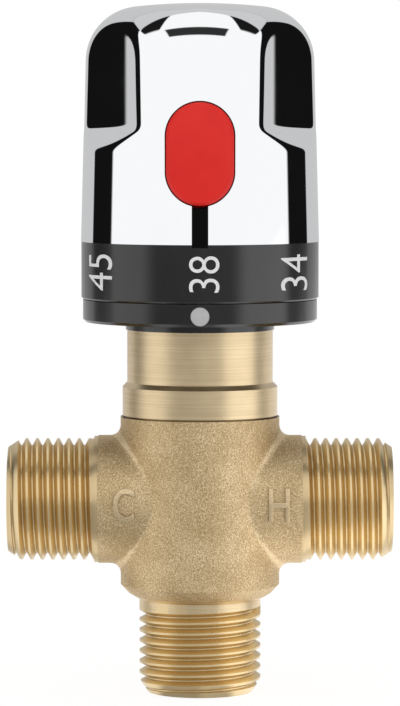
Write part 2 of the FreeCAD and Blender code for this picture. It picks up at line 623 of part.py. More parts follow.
def make_valve_body():
    """The casting: barrel, neck and outlet turned about Z, both branches turned about X."""
    body = new_body("valve_body")
    foot = "thread_radius + foot_ledge"
    turn(body, "Barrel", [
        ("0", "0"),
        ("mouth_radius", "0"),
        ("thread_radius", "thread_lead_in_long"),
        ("thread_radius", "shoulder_height"),
        (foot, "shoulder_height"),
        ("barrel_radius - foot_bevel_wide", "shoulder_height + foot_slope"),
        ("barrel_radius", "shoulder_height + foot_slope + foot_bevel_tall"),
        ("barrel_radius", "barrel_top"),
        ("band_dia / 2 - groove_deep", "barrel_top"),
        ("band_dia / 2 - groove_deep", "barrel_top + groove_tall"),
        ("band_dia / 2", "barrel_top + groove_tall"),
        ("band_dia / 2", "band_top"),
        ("neck_radius", "band_top + neck_cone"),
        ("neck_radius", "neck_top"),
        ("0", "neck_top"),
    ])
    turned = "branch_radius - facing_step"
    half = [
        ("branch_radius", "branch_end - facing_wide"),
        (turned, "branch_end - facing_wide"),
        (turned, "branch_end"),
        ("thread_radius", "branch_end"),
        ("thread_radius", "port_reach - thread_lead_in_long"),
        ("mouth_radius", "port_reach"),
        ("0", "port_reach"),
    ]
    hot_half = [(reach, radius) for radius, reach in half]
    cold_half = [("-(%s)" % reach, radius) for radius, reach in reversed(half)]
    turn(body, "Branches", hot_half + cold_half, axis="H_Axis", along="port_height")

    def meeting(edge):
        box = edge.BoundBox
        tall = box.ZMax - box.ZMin > value("branch_radius")
        return tall and abs(box.XMax) < value("barrel_radius") + 0.5 and box.XLength < value("barrel_radius")

    soften(body, "BranchFillets", "min(branch_fillet; under_branch - foot_ledge)", meeting)

    turn(body, "Chamber", [
        ("0", "-1"),
        ("outlet_bore / 2", "-1"),
        ("outlet_bore / 2", "spring_ledge"),
        ("spring_room_radius", "spring_ledge"),
        ("spring_room_radius", "hot_seat"),
        ("gallery_radius", "hot_seat"),
        ("gallery_radius", "land_low"),
        ("chamber_radius", "land_low"),
        ("chamber_radius", "land_high"),
        ("gallery_radius", "land_high"),
        ("gallery_radius", "cold_seat"),
        ("chamber_radius", "cold_seat"),
        ("chamber_radius", "bonnet_thread_low - bonnet_undercut"),
        ("bonnet_thread_radius", "bonnet_thread_low"),
        ("bonnet_thread_radius", "neck_top + 1"),
        ("0", "neck_top + 1"),
    ], cut=True)
    for side, sign, drop in (("Hot", 1, "-"), ("Cold", -1, "+")):
        reach = "%d * (port_reach + 1)" % sign
        turn(body, side + "Bore", [
            ("%d * inlet_end" % sign, "0"),
            ("%d * inlet_end" % sign, "inlet_bore / 2"),
            (reach, "inlet_bore / 2"),
            (reach, "0"),
        ], cut=True, axis="H_Axis", along="port_height")
        window = rounded_slot(body, side + "Window", "passage_wide", "passage_tall",
                              "port_height %s passage_offset" % drop, plane="YZ_Plane",
                              lift="%d * (inlet_end + end_gap)" % sign, lying=True)
        push(body, side + "Passage", window, "inlet_end + end_gap - gallery_radius + 3 * past", cut=True,
             other_way=sign < 0)
    return body


# ---------------------------------------------------------------------------------------------
# Collar and stop ring
# ---------------------------------------------------------------------------------------------

def make_index_collar():
    """A moulded dish, clamped by its inner flange between the neck and the bonnet's hexagon."""
    body = new_body("index_collar")
    recess = "hexagon / sqrt(3) + collar_clear"
    turn(body, "Dish", [
        ("bonnet_thread_radius + end_gap", "neck_top"),
        ("collar_bore", "neck_top"),
        ("collar_bore", "collar_low - collar_hub_drop"),
        ("collar_hub_dia / 2", "collar_low - collar_hub_drop"),
        ("collar_hub_dia / 2", "collar_low"),
        ("collar_radius", "collar_low"),
        ("collar_radius", "collar_top"),
        ("collar_radius - collar_rim", "collar_top"),
        ("collar_radius - collar_rim", "collar_low + collar_floor"),
        (recess, "collar_low + collar_floor"),
        (recess, "flange_seat"),
        ("bonnet_thread_radius + end_gap", "flange_seat"),
    ])
    soften(body, "LowerEdge", "collar_round", ring_edge("collar_radius", "collar_low"), bevel=True)
    dot = disc(body, "DotOutline", "dot_dia / 2", plane="XZ_Plane", lift="collar_radius - dot_deep",
               middle=("0", "dot_height"))
    push(body, "DotRecess", dot, "1", cut=True, other_way=True)
    return body


def make_stop_ring():
    """The fixed ring on the bonnet's boss, with the end stop block and the 38 degree lug."""
    body = new_body("stop_ring")
    turn(body, "Plate", box_points("boss_dia / 2 + seat_play", "lug_outer", "hexagon_top", "stop_ring_top"))
    turn(body, "EndStop", box_points("stop_inner", "stop_outer", "stop_ring_top - root", "stop_top"),
         angle="block_sweep", both=True, swing="block_middle + 90")
    turn(body, "Lug38", box_points("lug_inner", "lug_outer", "stop_ring_top - root", "stop_top"),
         angle="lug_sweep", both=True, swing="lug_start + lug_sweep / 2 - 90")
    tooth = outline(body, "ToothOutline", box_points(
        "-spline_wide", "spline_wide", "boss_dia / 2 - spline_deep", "boss_dia / 2 + 1"), plane="XY_Plane",
        lift="hexagon_top")
    push(body, "Tooth", tooth, "stop_ring_tall")
    return body


# ---------------------------------------------------------------------------------------------
# Bonnet and spindle
# ---------------------------------------------------------------------------------------------

def hexagon_points(across_flats):
    """The six corners of an upright hexagon, each from its own angle."""
    corners = []
    for number in range(6):
        angle = 60 * number + 30
        corners.append(("(%s) / sqrt(3) * cos(%d)" % (across_flats, angle),
                        "(%s) / sqrt(3) * sin(%d)" % (across_flats, angle)))
    return corners


def make_bonnet():
    """The brass insert in the neck: cold seat below, carrier guide inside, spindle bearing on top."""
    body = new_body("bonnet")
    turn(body, "Blank", [
        ("0", "cold_seat"),
        ("bonnet_radius", "cold_seat"),
        ("bonnet_radius", "bonnet_thread_low - moulded_gap"),
        ("bonnet_thread_radius - seat_play", "bonnet_thread_low + bonnet_undercut - moulded_gap"),
        ("bonnet_thread_radius - seat_play", "flange_seat"),
        ("boss_dia / 2", "flange_seat"),
        ("boss_dia / 2", "boss_top"),
        ("0", "boss_top"),
    ])
    hexagon = outline(body, "HexagonOutline", hexagon_points("hexagon"), plane="XY_Plane", lift="flange_seat")
    push(body, "Hexagon", hexagon, "hexagon_tall")
    ring_groove(body, "RingGroove", "bonnet_radius", "bonnet_ring_height")
    turn(body, "CarrierGuide", [
        ("0", "cold_seat - 1"),
        ("carrier_bore / 2 + key_deep / 2", "cold_seat - 1"),
        ("carrier_bore / 2 + key_deep / 2", "cold_seat + shuttle_lift"),
        ("carrier_bore / 2", "cold_seat + shuttle_lift"),
        ("carrier_bore / 2", "web_low"),
        ("journal_radius + slide_play", "web_low"),
        ("journal_radius + slide_play", "boss_top + 1"),
        ("0", "boss_top + 1"),
    ], cut=True)
    keyway = outline(body, "KeywayOutline", box_points(
        "0", "key_radius + slide_play", "-key_wide / 2 - slide_play", "key_wide / 2 + slide_play"),
        plane="XY_Plane", lift="cold_seat")
    slot = push(body, "Keyway", keyway, "spindle_flange_low - cold_seat", cut=True, other_way=True)
    repeat_round(body, "Keyways", slot, "2")
    notch = outline(body, "NotchOutline", box_points(
        "-spline_wide - seat_play", "spline_wide + seat_play",
        "boss_dia / 2 - spline_deep - seat_play", "boss_dia / 2 + 1"), plane="XY_Plane", lift="hexagon_top")
    push(body, "StopNotch", notch, "boss_tall", cut=True, other_way=True)
    return body


def make_spindle():
    """Thrust flange, journal with its rubber ring, splines on top and the carrier's thread below."""
    body = new_body("spindle")
    turn(body, "Blank", [
        ("0", "spindle_low"),
        ("spindle_thread / 2", "spindle_low"),
        ("spindle_thread / 2", "spindle_flange_low"),
        ("spindle_flange_dia / 2", "spindle_flange_low"),
        ("spindle_flange_dia / 2", "web_low"),
        ("journal_radius", "web_low"),
        ("journal_radius", "snap_low"),
        ("journal_radius - snap_deep", "snap_low"),
        ("journal_radius - snap_deep", "snap_low + snap_wire + seat_play"),
        ("spline_radius", "snap_low + snap_wire + seat_play"),
        ("spline_radius", "spindle_top"),
        ("0", "spindle_top"),
    ])
    ring_groove(body, "RingGroove", "journal_radius", "spindle_ring_height")
    turn(body, "ScrewHole", box_points("0", "screw_dia / 2", "spindle_top - screw_long - 1", "spindle_top + 1"),
         cut=True)
    groove = outline(body, "SplineOutline", box_points(
        "spline_radius - spline_deep", "spline_radius + 1", "-spline_wide / 2", "spline_wide / 2"),
        plane="XY_Plane", lift="spline_low")
    cut = push(body, "Spline", groove, "spline_long", cut=True, other_way=True)
    repeat_round(body, "Splines", cut, "spline_count")
    return body


def make_snap_ring(label, inner, outer, low, opening):
    """A snap ring with a gap, as it lies in its groove."""
    body = new_body(label)
    turn(body, "Ring", box_points(inner, outer, low, "(%s) + snap_wire" % low),
         angle="360 - (%s)" % opening, both=True)
    return body


# ---------------------------------------------------------------------------------------------
# Carrier nut, thrust cup and pin
# ---------------------------------------------------------------------------------------------

def make_carrier_nut():
    """The nut on the spindle's thread: two keys hold it from turning, and its skirt holds the spring."""
    body = new_body("carrier_nut")
    key = outline(body, "KeyOutline", box_points(
        "carrier_radius - 1", "key_radius", "-key_wide / 2", "key_wide / 2"), plane="XY_Plane",
        lift="carrier_low + 2")
    turn_points = [
        ("carrier_room / 2", "carrier_low"),
        ("carrier_radius", "carrier_low"),
        ("carrier_radius", "carrier_high"),
        ("spindle_thread / 2 + slide_play", "carrier_high"),
        ("spindle_thread / 2 + slide_play", "carrier_web_low"),
        ("carrier_room / 2", "carrier_web_low"),
    ]
    turn(body, "Skirt", turn_points)
    ridge = push(body, "Key", key, "carrier_tall - 2")
    repeat_round(body, "Keys", ridge, "2")
    turn(body, "RingGroove", box_points("carrier_room / 2 - 1", "carrier_room / 2 + root", "carrier_ring_low",
                                        "cup_flange_low"), cut=True)
    return body


def make_thrust_cup():
    """The cup that the overtravel spring holds down on the snap ring, with the pin's socket."""
    body = new_body("thrust_cup")
    turn(body, "Cup", [
        ("0", "pin_high"),
        ("pin_dia / 2 + seat_play", "pin_high"),
        ("pin_dia / 2 + seat_play", "cup_low"),
        ("cup_dia / 2", "cup_low"),
        ("cup_dia / 2", "cup_flange_low"),
        ("carrier_room / 2 - slide_play", "cup_flange_low"),
        ("carrier_room / 2 - slide_play", "cup_flange_high"),
        ("cup_dia / 2", "cup_flange_high"),
        ("cup_dia / 2", "cup_flange_high + cup_rise"),
        ("0", "cup_flange_high + cup_rise"),
    ])
    return body


def make_element_pin():
    body = new_body("element_pin")
    turn(body, "Pin", box_points("0", "pin_dia / 2", "pin_low", "pin_high"))
    soften(body, "TipBevel", "pin_dia / 10", ring_edge("pin_dia / 2", "pin_low"), bevel=True)
    return body


# ---------------------------------------------------------------------------------------------
# Shuttle and wax element
# ---------------------------------------------------------------------------------------------

def make_shuttle():
    """The mixing piston: a sleeve with a guiding land, and a spider that carries the wax element."""
    body = new_body("shuttle")
    wall = "shuttle_dia / 2"
    turn(body, "Sleeve", [
        ("shuttle_mouth / 2", "shuttle_low"),
        (wall, "shuttle_low"),
        (wall, "port_height - shuttle_land / 2"),
        ("shuttle_guide_radius", "port_height - shuttle_land / 2"),
        ("shuttle_guide_radius", "port_height + shuttle_land / 2"),
        (wall, "port_height + shuttle_land / 2"),
        (wall, "shuttle_high"),
        ("shuttle_bore / 2", "shuttle_high"),
        ("shuttle_bore / 2", "spider_low"),
        ("shuttle_mouth / 2", "spider_low"),
    ])
    spoke = outline(body, "SpokeOutline", box_points(
        "spider_hub_dia / 2 - 1", "shuttle_bore / 2 + root", "-spoke_wide / 2", "spoke_wide / 2"),
        plane="XY_Plane", lift="spider_low")
    arm = push(body, "Spoke", spoke, "spider_tall")
    repeat_round(body, "Spokes", arm, "spoke_count")
    turn(body, "Hub", box_points("bulb_dia / 2 + seat_play", "spider_hub_dia / 2", "spider_low", "spider_high"))
    ring_groove(body, "RingGroove", "shuttle_guide_radius", "port_height")
    return body


def make_wax_element():
    """Copper bulb, flange and guide, crimped into one; the guide's bore takes the push pin."""
    body = new_body("wax_element")
    pin_bore = "pin_dia / 2 + slide_play"
    turn(body, "Bulb", [
        ("0", "bulb_low"),
        ("bulb_dia / 2", "bulb_low"),
        ("bulb_dia / 2", "spider_high"),
        ("element_flange_dia / 2", "spider_high"),
        ("element_flange_dia / 2", "flange_high"),
        ("guide_dia / 2", "flange_high"),
        ("guide_dia / 2", "guide_high"),
        (pin_bore, "guide_high"),
        (pin_bore, "pin_low - pin_room"),
        ("0", "pin_low - pin_room"),
    ])
    soften(body, "BulbFoot", "bulb_dia / 6", ring_edge("bulb_dia / 2", "bulb_low"), bevel=True)
    soften(body, "FlangeEdge", "element_flange_tall / 5",
           ring_edge("element_flange_dia / 2", "flange_high"), bevel=True)
    return body


# ---------------------------------------------------------------------------------------------
# Knob
# ---------------------------------------------------------------------------------------------

def make_scale_ring():
    """The ring that carries the scale, its spigot in the cap, and the key in the cap's skirt."""
    body = new_body("scale_ring")
    turn(body, "Ring", [
        ("scale_inner", "scale_low"),
        ("scale_radius", "scale_low"),
        ("scale_radius", "cap_low"),
        ("spigot_radius", "cap_low"),
        ("spigot_radius", "spigot_top"),
        ("spigot_inner", "spigot_top"),
        ("spigot_inner", "cap_low - 1"),
        ("scale_inner", "cap_low - 1"),
    ])
    soften(body, "LowerEdge", "scale_edge", ring_edge("scale_radius", "scale_low"), bevel=True)
    strip = outline(body, "KeyOutline", box_points(
        "-key_strip_wide / 2", "key_strip_wide / 2", "cap_low - root", "window_low - button_gap"),
        lift="spigot_inner + spigot_wall / 2")
    push(body, "Key", strip, "cap_radius_low - spigot_inner - spigot_wall / 2")
    return body


def make_knob_cap():
    """The chromed cap: turned form, three scallops with ledges, a stepped room, window and key slot."""
    body = new_body("knob_cap")
    turn(body, "Form", [
        ("0", "cap_low"),
        ("cap_radius_low", "cap_low"),
        ("cap_radius_high", "cap_side_top", "shoulder_radius", "shoulder_height_in_cap"),
        ("dome_edge", "dome_edge_height", "0", "dome_centre"),
        ("0", "cap_top"),
    ])
    reach = "cap_radius_low - scallop_middle + 3"
    scallop = turn(body, "Scallop", [
        ("0", "cap_top + 1"),
        ("scallop_radius", "cap_top + 1"),
        ("scallop_radius", "scallop_low"),
        ("scallop_radius - (%s)" % reach, "scallop_low - (%s) * tan(scallop_slope)" % reach),
        ("0", "scallop_low - (%s) * tan(scallop_slope)" % reach),
    ], cut=True, plane="YZ_Plane", across="scallop_centre")
    repeat_round(body, "Scallops", scallop, "scallop_count")

    def scallop_edge(edge):
        if edge.Degenerated:
            return False
        return edge.BoundBox.ZMin > value("ledge_low") - 1 and edge.Length > 3

    soften(body, "ScallopEdges", "scallop_round", scallop_edge)

    turn(body, "SkirtRoom", box_points("0", "cap_skirt_inner", "cap_low - 1", "adapter_flange_top"), cut=True)
    waist = "ledge_low - cap_wall"
    turn(body, "WideRoom", box_points("0", "cap_room_radius", "adapter_flange_top - 1", waist), cut=True)
    lobed_room(body, waist)
    turn(body, "TopRoom", [
        ("0", "cap_top - cap_shoulder - 2"),
        ("scallop_middle - cap_wall - 1", "cap_top - cap_shoulder - 2"),
        ("scallop_middle - cap_wall - 1", "cap_room_top - 2"),
        ("scallop_middle - cap_wall - 3", "cap_room_top"),
        ("0", "cap_room_top"),
    ], cut=True)
    window = rounded_slot(body, "WindowOutline", "window_wide", "window_tall", "button_height",
                          lift="cap_radius_low - cap_wall - 4")
    push(body, "Window", window, "cap_wall + 8", cut=True, other_way=True)
    strip = outline(body, "KeySlotOutline", box_points(
        "-key_strip_wide / 2 - seat_play", "key_strip_wide / 2 + seat_play", "cap_low - 1",
        "window_low + window_wide / 4"), lift="cap_radius_low - cap_wall - 1")
    push(body, "KeySlot", strip, "cap_wall + 4", cut=True, other_way=True)
    return body


def lobed_room(body, low):
    """The cap's inner room beside the scallops: a circle cut by one arc behind each scallop."""
    outer = value("cap_room_radius")
    back = value("scallop_middle - cap_wall")
    pitch = 360.0 / value("scallop_count")
    half = lobe_half(outer, value("scallop_radius + cap_wall"), value("scallop_centre"))
    sketch = new_sketch(body, "LobesOutline", "XY_Plane", low, None, None, None)

    def at(angle, radius):
        return Rotation(Vector(0, 0, 1), angle).multVec(Vector(radius, 0, 0))

    for number in range(int(value("scallop_count"))):
        axis = 90.0 + number * pitch
        sketch.addGeometry(Part.Arc(at(axis - half, outer), at(axis, back), at(axis + half, outer)), False)
        sketch.addGeometry(Part.Arc(at(axis + half, outer), at(axis + pitch / 2, outer),
                                    at(axis + pitch - half, outer)), False)
    push(body, "LobesRoom", sketch, "cap_top - cap_shoulder - past - (%s)" % low, cut=True, other_way=True)


def lobe_half(outer, inner, centre):
    """Half the angle that an arc behind a scallop takes from the room's circle, in degrees."""
    cosine = (outer * outer + centre * centre - inner * inner) / (2 * outer * centre)
    return float(sheet.evalExpression("acos(%.9f)" % cosine))


def make_safety_button():
    """The button: face turned to the cap's curve, lip behind the wall, tongue down to the lug."""
    body = new_body("safety_button")
    face = rounded_slot(body, "FaceOutline", "button_wide", "button_tall", "button_height", lift="lip_back")
    push(body, "Face", face, "button_face - lip_back + 2")
    turn(body, "Curve", box_points("button_face", "button_face + 8", "button_height - button_tall",
                                   "button_height + button_tall"), cut=True)

    def rim(edge):
        ends = edge.valueAt(edge.FirstParameter)
        return abs((ends.x ** 2 + ends.y ** 2) ** 0.5 - value("button_face")) < 1e-4

    soften(body, "RimBevel", "button_round", rim, bevel=True)
    lip = rounded_slot(body, "LipOutline", "lip_wide", "lip_tall", "button_height", lift="lip_back")
    push(body, "Lip", lip, "lip_thick")
    tongue = outline(body, "TongueOutline", box_points(
        "-tongue_wide / 2", "tongue_wide / 2", "tongue_low", "button_height - button_tall / 2 + 1"),
        lift="lip_back")
    push(body, "Tongue", tongue, "lip_thick")
    return body


def make_spline_adapter():
    """The moulded carrier: splined hub, web, rim and flange, stop finger behind, spring post in front."""
    body = new_body("spline_adapter")
    turn(body, "Hub", [
        ("spline_radius + seat_play", "spline_low + moulded_gap"),
        ("adapter_hub_dia / 2", "spline_low + moulded_gap"),
        ("adapter_hub_dia / 2", "adapter_web_low"),
        ("adapter_rim - adapter_rim_wall", "adapter_web_low"),
        ("adapter_rim - adapter_rim_wall", "adapter_rim_low"),
        ("adapter_rim", "adapter_rim_low"),
        ("adapter_rim", "spigot_top"),
        ("spigot_radius", "spigot_top"),
        ("spigot_radius", "adapter_flange_top"),
        ("adapter_rim - adapter_rim_wall", "adapter_flange_top"),
        ("adapter_rim - adapter_rim_wall", "adapter_web_low + adapter_web_tall"),
        ("adapter_hub_dia / 2", "adapter_web_low + adapter_web_tall"),
        ("adapter_hub_dia / 2", "hub_top"),
        ("screw_dia / 2 + end_gap", "hub_top"),
        ("screw_dia / 2 + end_gap", "spindle_top"),
        ("spline_radius + seat_play", "spindle_top"),
    ])
    turn(body, "StopFinger", box_points("stop_inner", "stop_outer", "stop_ring_top + moulded_gap",
                                        "adapter_web_low + root"),
         angle="finger_sweep", both=True, swing="90")
    post = outline(body, "PostOutline", box_points(
        "-post_wide / 2", "post_wide / 2", "adapter_web_low + root", "post_high"), lift="post_front - post_thick")
    push(body, "Post", post, "post_thick")
    peg = disc(body, "PegOutline", "peg_dia / 2", plane="XZ_Plane", lift="post_front - root",
               middle=("0", "button_height"))
    push(body, "Peg", peg, "peg_long + root")
    notch = outline(body, "NotchOutline", box_points(
        "-notch_wide / 2", "notch_wide / 2", "adapter_rim_low - 1", "adapter_flange_top + 1"),
        lift="lip_back - button_travel - root")
    push(body, "Notch", notch, "8", cut=True, other_way=True)
    tooth = outline(body, "ToothOutline", box_points(
        "spline_radius - spline_deep + seat_play", "spline_radius + root",
        "-spline_wide / 2 + seat_play", "spline_wide / 2 - seat_play"), plane="XY_Plane",
        lift="spline_low + moulded_gap")
    ridge = push(body, "Tooth", tooth, "spindle_top - spline_low - moulded_gap")
    repeat_round(body, "Teeth", ridge, "spline_count")
    return body


def make_adapter_screw():
    body = new_body("adapter_screw")
    turn(body, "Blank", [
        ("0", "hub_top - screw_long"),
        ("screw_dia / 2 - seat_play", "hub_top - screw_long"),
        ("screw_dia / 2 - seat_play", "hub_top"),
        ("screw_head_dia / 2", "hub_top"),
        ("screw_head_dia / 2", "hub_top + screw_head_tall"),
        ("0", "hub_top + screw_head_tall"),
    ])
    socket = outline(body, "SocketOutline", hexagon_points("screw_socket"), plane="XY_Plane",
                     lift="hub_top + screw_head_tall")
    push(body, "Socket", socket, "screw_head_tall / 2", cut=True)
    soften(body, "HeadEdge", "screw_head_tall / 6",
           ring_edge("screw_head_dia / 2", "hub_top + screw_head_tall"), bevel=True)
    return body


# ---------------------------------------------------------------------------------------------
# Check valves, built upright about Z and laid along a port
# ---------------------------------------------------------------------------------------------

def lay_in_port(body, sign):
    """Turns an upright piece so that its +Z runs out of the hot (+1) or the cold (-1) port."""
    body.Placement = Placement(Vector(0, 0, 0), Rotation(Vector(0, 0, 1), Vector(sign, 0, 0)))
    body.setExpression("Placement.Base.z", bound("port_height"))


def make_check_valve(side, sign):
    """Housing, rubber ring, poppet with its washer, spring and strainer of one inlet."""
    housing = new_body(side + "_check_housing")
    turn(housing, "Tube", [
        ("check_room / 2", "inlet_end"),
        ("check_dia / 2", "inlet_end"),
        ("check_dia / 2", "check_outer_end"),
        ("check_dia / 2 - strainer_rim", "check_outer_end"),
        ("check_dia / 2 - strainer_rim", "check_recess"),
        ("check_seat_dia / 2", "check_recess"),
        ("check_seat_dia / 2", "check_seat_place"),
        ("check_room / 2", "check_seat_place"),
    ])
    arm_outline = outline(housing, "ArmOutline", box_points(
        "(stem_dia + check_hub_dia) / 4", "check_room / 2 + root", "-check_arm_wide / 2", "check_arm_wide / 2"),
        plane="XY_Plane",
        lift="inlet_end")
    arm = push(housing, "Arm", arm_outline, "check_spider")
    repeat_round(housing, "Arms", arm, "3")
    turn(housing, "Guide", box_points("stem_dia / 2 + slide_play", "check_hub_dia / 2", "inlet_end",
                                      "inlet_end + check_hub_long"))
    ring_groove(housing, "RingGroove", "check_dia / 2", "groove_reach")

    ring = rubber_ring(side + "_check_oring", "check_dia / 2 - ring_groove_deep", "groove_reach")

    poppet = new_body(side + "_check_poppet")
    turn(poppet, "Disc", [
        ("0", "stem_end"),
        ("stem_dia / 2", "stem_end"),
        ("stem_dia / 2", "poppet_back"),
        ("poppet_dia / 2", "poppet_back"),
        ("poppet_dia / 2", "poppet_back + poppet_tall"),
        ("0", "poppet_back + poppet_tall"),
    ])

    washer = new_body(side + "_poppet_washer")
    turn(washer, "Washer", box_points("0", "poppet_dia / 2", "poppet_back + poppet_tall", "check_seat_place"))

    spring = coil(side + "_check_spring", "check_hub_dia / 2 + check_wire", "check_wire", "check_room_start",
                  "poppet_back", "check_turns")

    strainer = new_body(side + "_strainer")
    turn(strainer, "Rim", [
        ("0", "check_recess"),
        ("check_dia / 2 - strainer_rim - seat_play", "check_recess"),
        ("check_dia / 2 - strainer_rim - seat_play", "check_outer_end"),
        ("check_dia / 2 - 2 * strainer_rim", "check_outer_end"),
        ("check_dia / 2 - 2 * strainer_rim", "check_recess + strainer_mesh"),
        ("0", "check_recess + strainer_mesh"),
    ])
    hole = disc(strainer, "HoleOutline", "strainer_hole / 2", lift="check_recess",
                middle=("check_seat_dia / 2 - strainer_hole / 2", "0"))
    cut = push(strainer, "Hole", hole, "strainer_mesh", cut=True, other_way=True)
    repeat_round(strainer, "Holes", cut, "6")

    for body in (housing, ring, poppet, washer, spring, strainer):
        lay_in_port(body, sign)


# ---------------------------------------------------------------------------------------------
# The whole valve
# ---------------------------------------------------------------------------------------------

make_valve_body()
make_index_collar()
make_stop_ring()
make_bonnet()
rubber_ring("bonnet_oring", "bonnet_radius - ring_groove_deep", "bonnet_ring_height")
make_spindle()
rubber_ring("spindle_oring", "journal_radius - ring_groove_deep", "spindle_ring_height")
make_snap_ring("spindle_snap_ring", "journal_radius - snap_deep", "journal_radius + 2 * snap_deep", "snap_low", "70")
make_carrier_nut()
make_snap_ring("carrier_snap_ring", "carrier_room / 2 - past", "carrier_room / 2 + root - seat_play", "carrier_ring_low", "50")
make_thrust_cup()
coil("overtravel_spring", "carrier_room / 2 - overtravel_wire / 2 - spring_play", "overtravel_wire",
     "cup_flange_high", "carrier_web_low", "overtravel_turns")
make_element_pin()
make_shuttle()
rubber_ring("shuttle_oring", "shuttle_guide_radius - ring_groove_deep", "port_height")
make_wax_element()
coil("return_spring", "spring_room_radius - return_wire / 2 - spring_play", "return_wire", "spring_ledge",
     "spider_low", "return_turns")
make_scale_ring()
make_knob_cap()
make_spline_adapter()
make_adapter_screw()
make_safety_button()
button_spring = coil("button_spring", "peg_dia / 2 + button_wire / 2 + spring_play", "button_wire", "post_front",
                     "lip_back", "button_turns")
button_spring.Placement = Placement(Vector(0, 0, 0), Rotation(Vector(0, 0, 1), Vector(0, -1, 0)))
button_spring.setExpression("Placement.Base.z", bound("button_height"))
make_check_valve("cold", -1)
make_check_valve("hot", 1)

doc.recompute()

for thing in doc.Objects:
    if "Invalid" in thing.State or "Error" in thing.State:
        raise RuntimeError("%s is in state %s" % (thing.Label, thing.State))
for body in made:
    if body.Shape.isNull() or not body.Shape.isValid():
        raise RuntimeError("%s has no valid shape" % body.Label)
    if len(body.Shape.Solids) != 1:
        raise RuntimeError("%s has %d solids" % (body.Label, len(body.Shape.Solids)))

os.makedirs("parts", exist_ok=True)
for body in made:
    body.Shape.exportStep("parts/%s.step" % body.Label)
print("%d sub-parts written" % len(made))
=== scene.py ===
# %% [markdown]
# # A thermostatic mixing valve
#
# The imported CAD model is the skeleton: it says where each piece sits and how it moves. This
# notebook dresses it. The casting gets its threads and its blasted skin, the knob gets its
# polished chrome, and the rings get their numerals.
#
# Everything is in metres, with the outlet's end face at height zero and the knob on top.

# %% Load the frame
import json
import math

import bpy
import numpy as np
from mathutils import Matrix, Vector

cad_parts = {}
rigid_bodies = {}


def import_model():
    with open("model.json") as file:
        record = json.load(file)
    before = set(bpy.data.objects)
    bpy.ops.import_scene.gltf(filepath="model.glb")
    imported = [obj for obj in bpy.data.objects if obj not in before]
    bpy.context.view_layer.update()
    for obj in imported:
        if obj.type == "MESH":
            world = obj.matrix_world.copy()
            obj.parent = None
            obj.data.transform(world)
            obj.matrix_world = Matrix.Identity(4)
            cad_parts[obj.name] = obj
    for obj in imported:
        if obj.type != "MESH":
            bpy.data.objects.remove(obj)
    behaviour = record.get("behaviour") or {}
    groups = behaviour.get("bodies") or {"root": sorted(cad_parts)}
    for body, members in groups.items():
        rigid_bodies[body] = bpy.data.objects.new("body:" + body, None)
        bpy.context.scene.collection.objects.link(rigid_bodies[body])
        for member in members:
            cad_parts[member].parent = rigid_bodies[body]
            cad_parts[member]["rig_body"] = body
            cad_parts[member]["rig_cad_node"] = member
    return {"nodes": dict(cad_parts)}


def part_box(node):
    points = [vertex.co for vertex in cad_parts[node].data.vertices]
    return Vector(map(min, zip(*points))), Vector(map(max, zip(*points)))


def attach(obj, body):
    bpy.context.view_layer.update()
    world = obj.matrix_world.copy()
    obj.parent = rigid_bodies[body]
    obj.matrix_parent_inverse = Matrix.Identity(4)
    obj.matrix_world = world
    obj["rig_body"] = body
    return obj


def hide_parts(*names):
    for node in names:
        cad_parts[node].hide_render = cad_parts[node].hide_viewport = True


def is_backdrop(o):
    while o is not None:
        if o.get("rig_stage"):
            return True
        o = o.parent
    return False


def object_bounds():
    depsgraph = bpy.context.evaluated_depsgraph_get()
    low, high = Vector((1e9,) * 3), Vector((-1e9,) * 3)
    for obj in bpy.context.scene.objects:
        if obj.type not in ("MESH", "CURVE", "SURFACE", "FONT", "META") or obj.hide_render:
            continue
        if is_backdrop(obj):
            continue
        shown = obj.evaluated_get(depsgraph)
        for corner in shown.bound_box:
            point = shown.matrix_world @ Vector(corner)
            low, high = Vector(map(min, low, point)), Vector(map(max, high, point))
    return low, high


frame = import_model()
bpy.ops.object.select_all(action="DESELECT")
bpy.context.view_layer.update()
MM = 0.001

# %% [markdown]
# ## Sizes that the pieces share
#
# The height of the ports' axis is read from a CAD node, so whatever is made round it fits. The
# other sizes are those of the thread standard: half inch pipe, 14 turns to the inch.

# %% Shared sizes
PORT_Z = sum(corner.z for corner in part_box("hot_check_housing")) / 2
PITCH = 1.814 * MM
CREST = 10.4775 * MM
ROOT = CREST - 1.162 * MM
print("ports' axis at", round(PORT_Z / MM, 2), "mm, thread pitch", round(PITCH / MM, 3), "mm")

# %% [markdown]
# ## Camera
#
# A long lens from a little above, as for a catalogue picture. A short lens close by would make
# the knob loom over the ports, and a long one shows hardly any perspective. The camera looks at
# a point on the valve's own axis.

# %% Camera
LOOK_AT = Vector((0, 0, 0.0586))
bpy.ops.object.camera_add(location=(0.0, -0.675, 0.1007))
camera = bpy.context.object
camera.data.lens = 200
camera.data.sensor_width = 36
camera.data.clip_end = 20
camera.rotation_euler = (LOOK_AT - camera.location).to_track_quat("-Z", "Y").to_euler()
bpy.context.scene.camera = camera
bpy.context.scene.view_settings.view_transform = "Standard"
print("camera", round(camera.location.length, 3), "m from the outlet")

# %% [markdown]
# ## Small helpers for materials
#
# A material is a little network of nodes. `new_node` adds one and wires its inputs: a number or
# a colour is set on the socket, and another node's output is linked to it. The helpers after it
# each stand for a group of nodes that many of the finishes share, so that each finish below
# reads as a short recipe.

# %% Nodes and networks
def new_node(tree, kind, inputs=None, **settings):
    """Adds a node, sets its properties, and sets or links its inputs."""
    node = tree.nodes.new(kind)
    for name, setting in settings.items():
        setattr(node, name, setting)
    for name, source in (inputs or {}).items():
        if isinstance(source, bpy.types.NodeSocket):
            tree.links.new(source, node.inputs[name])
        else:
            node.inputs[name].default_value = source
    return node


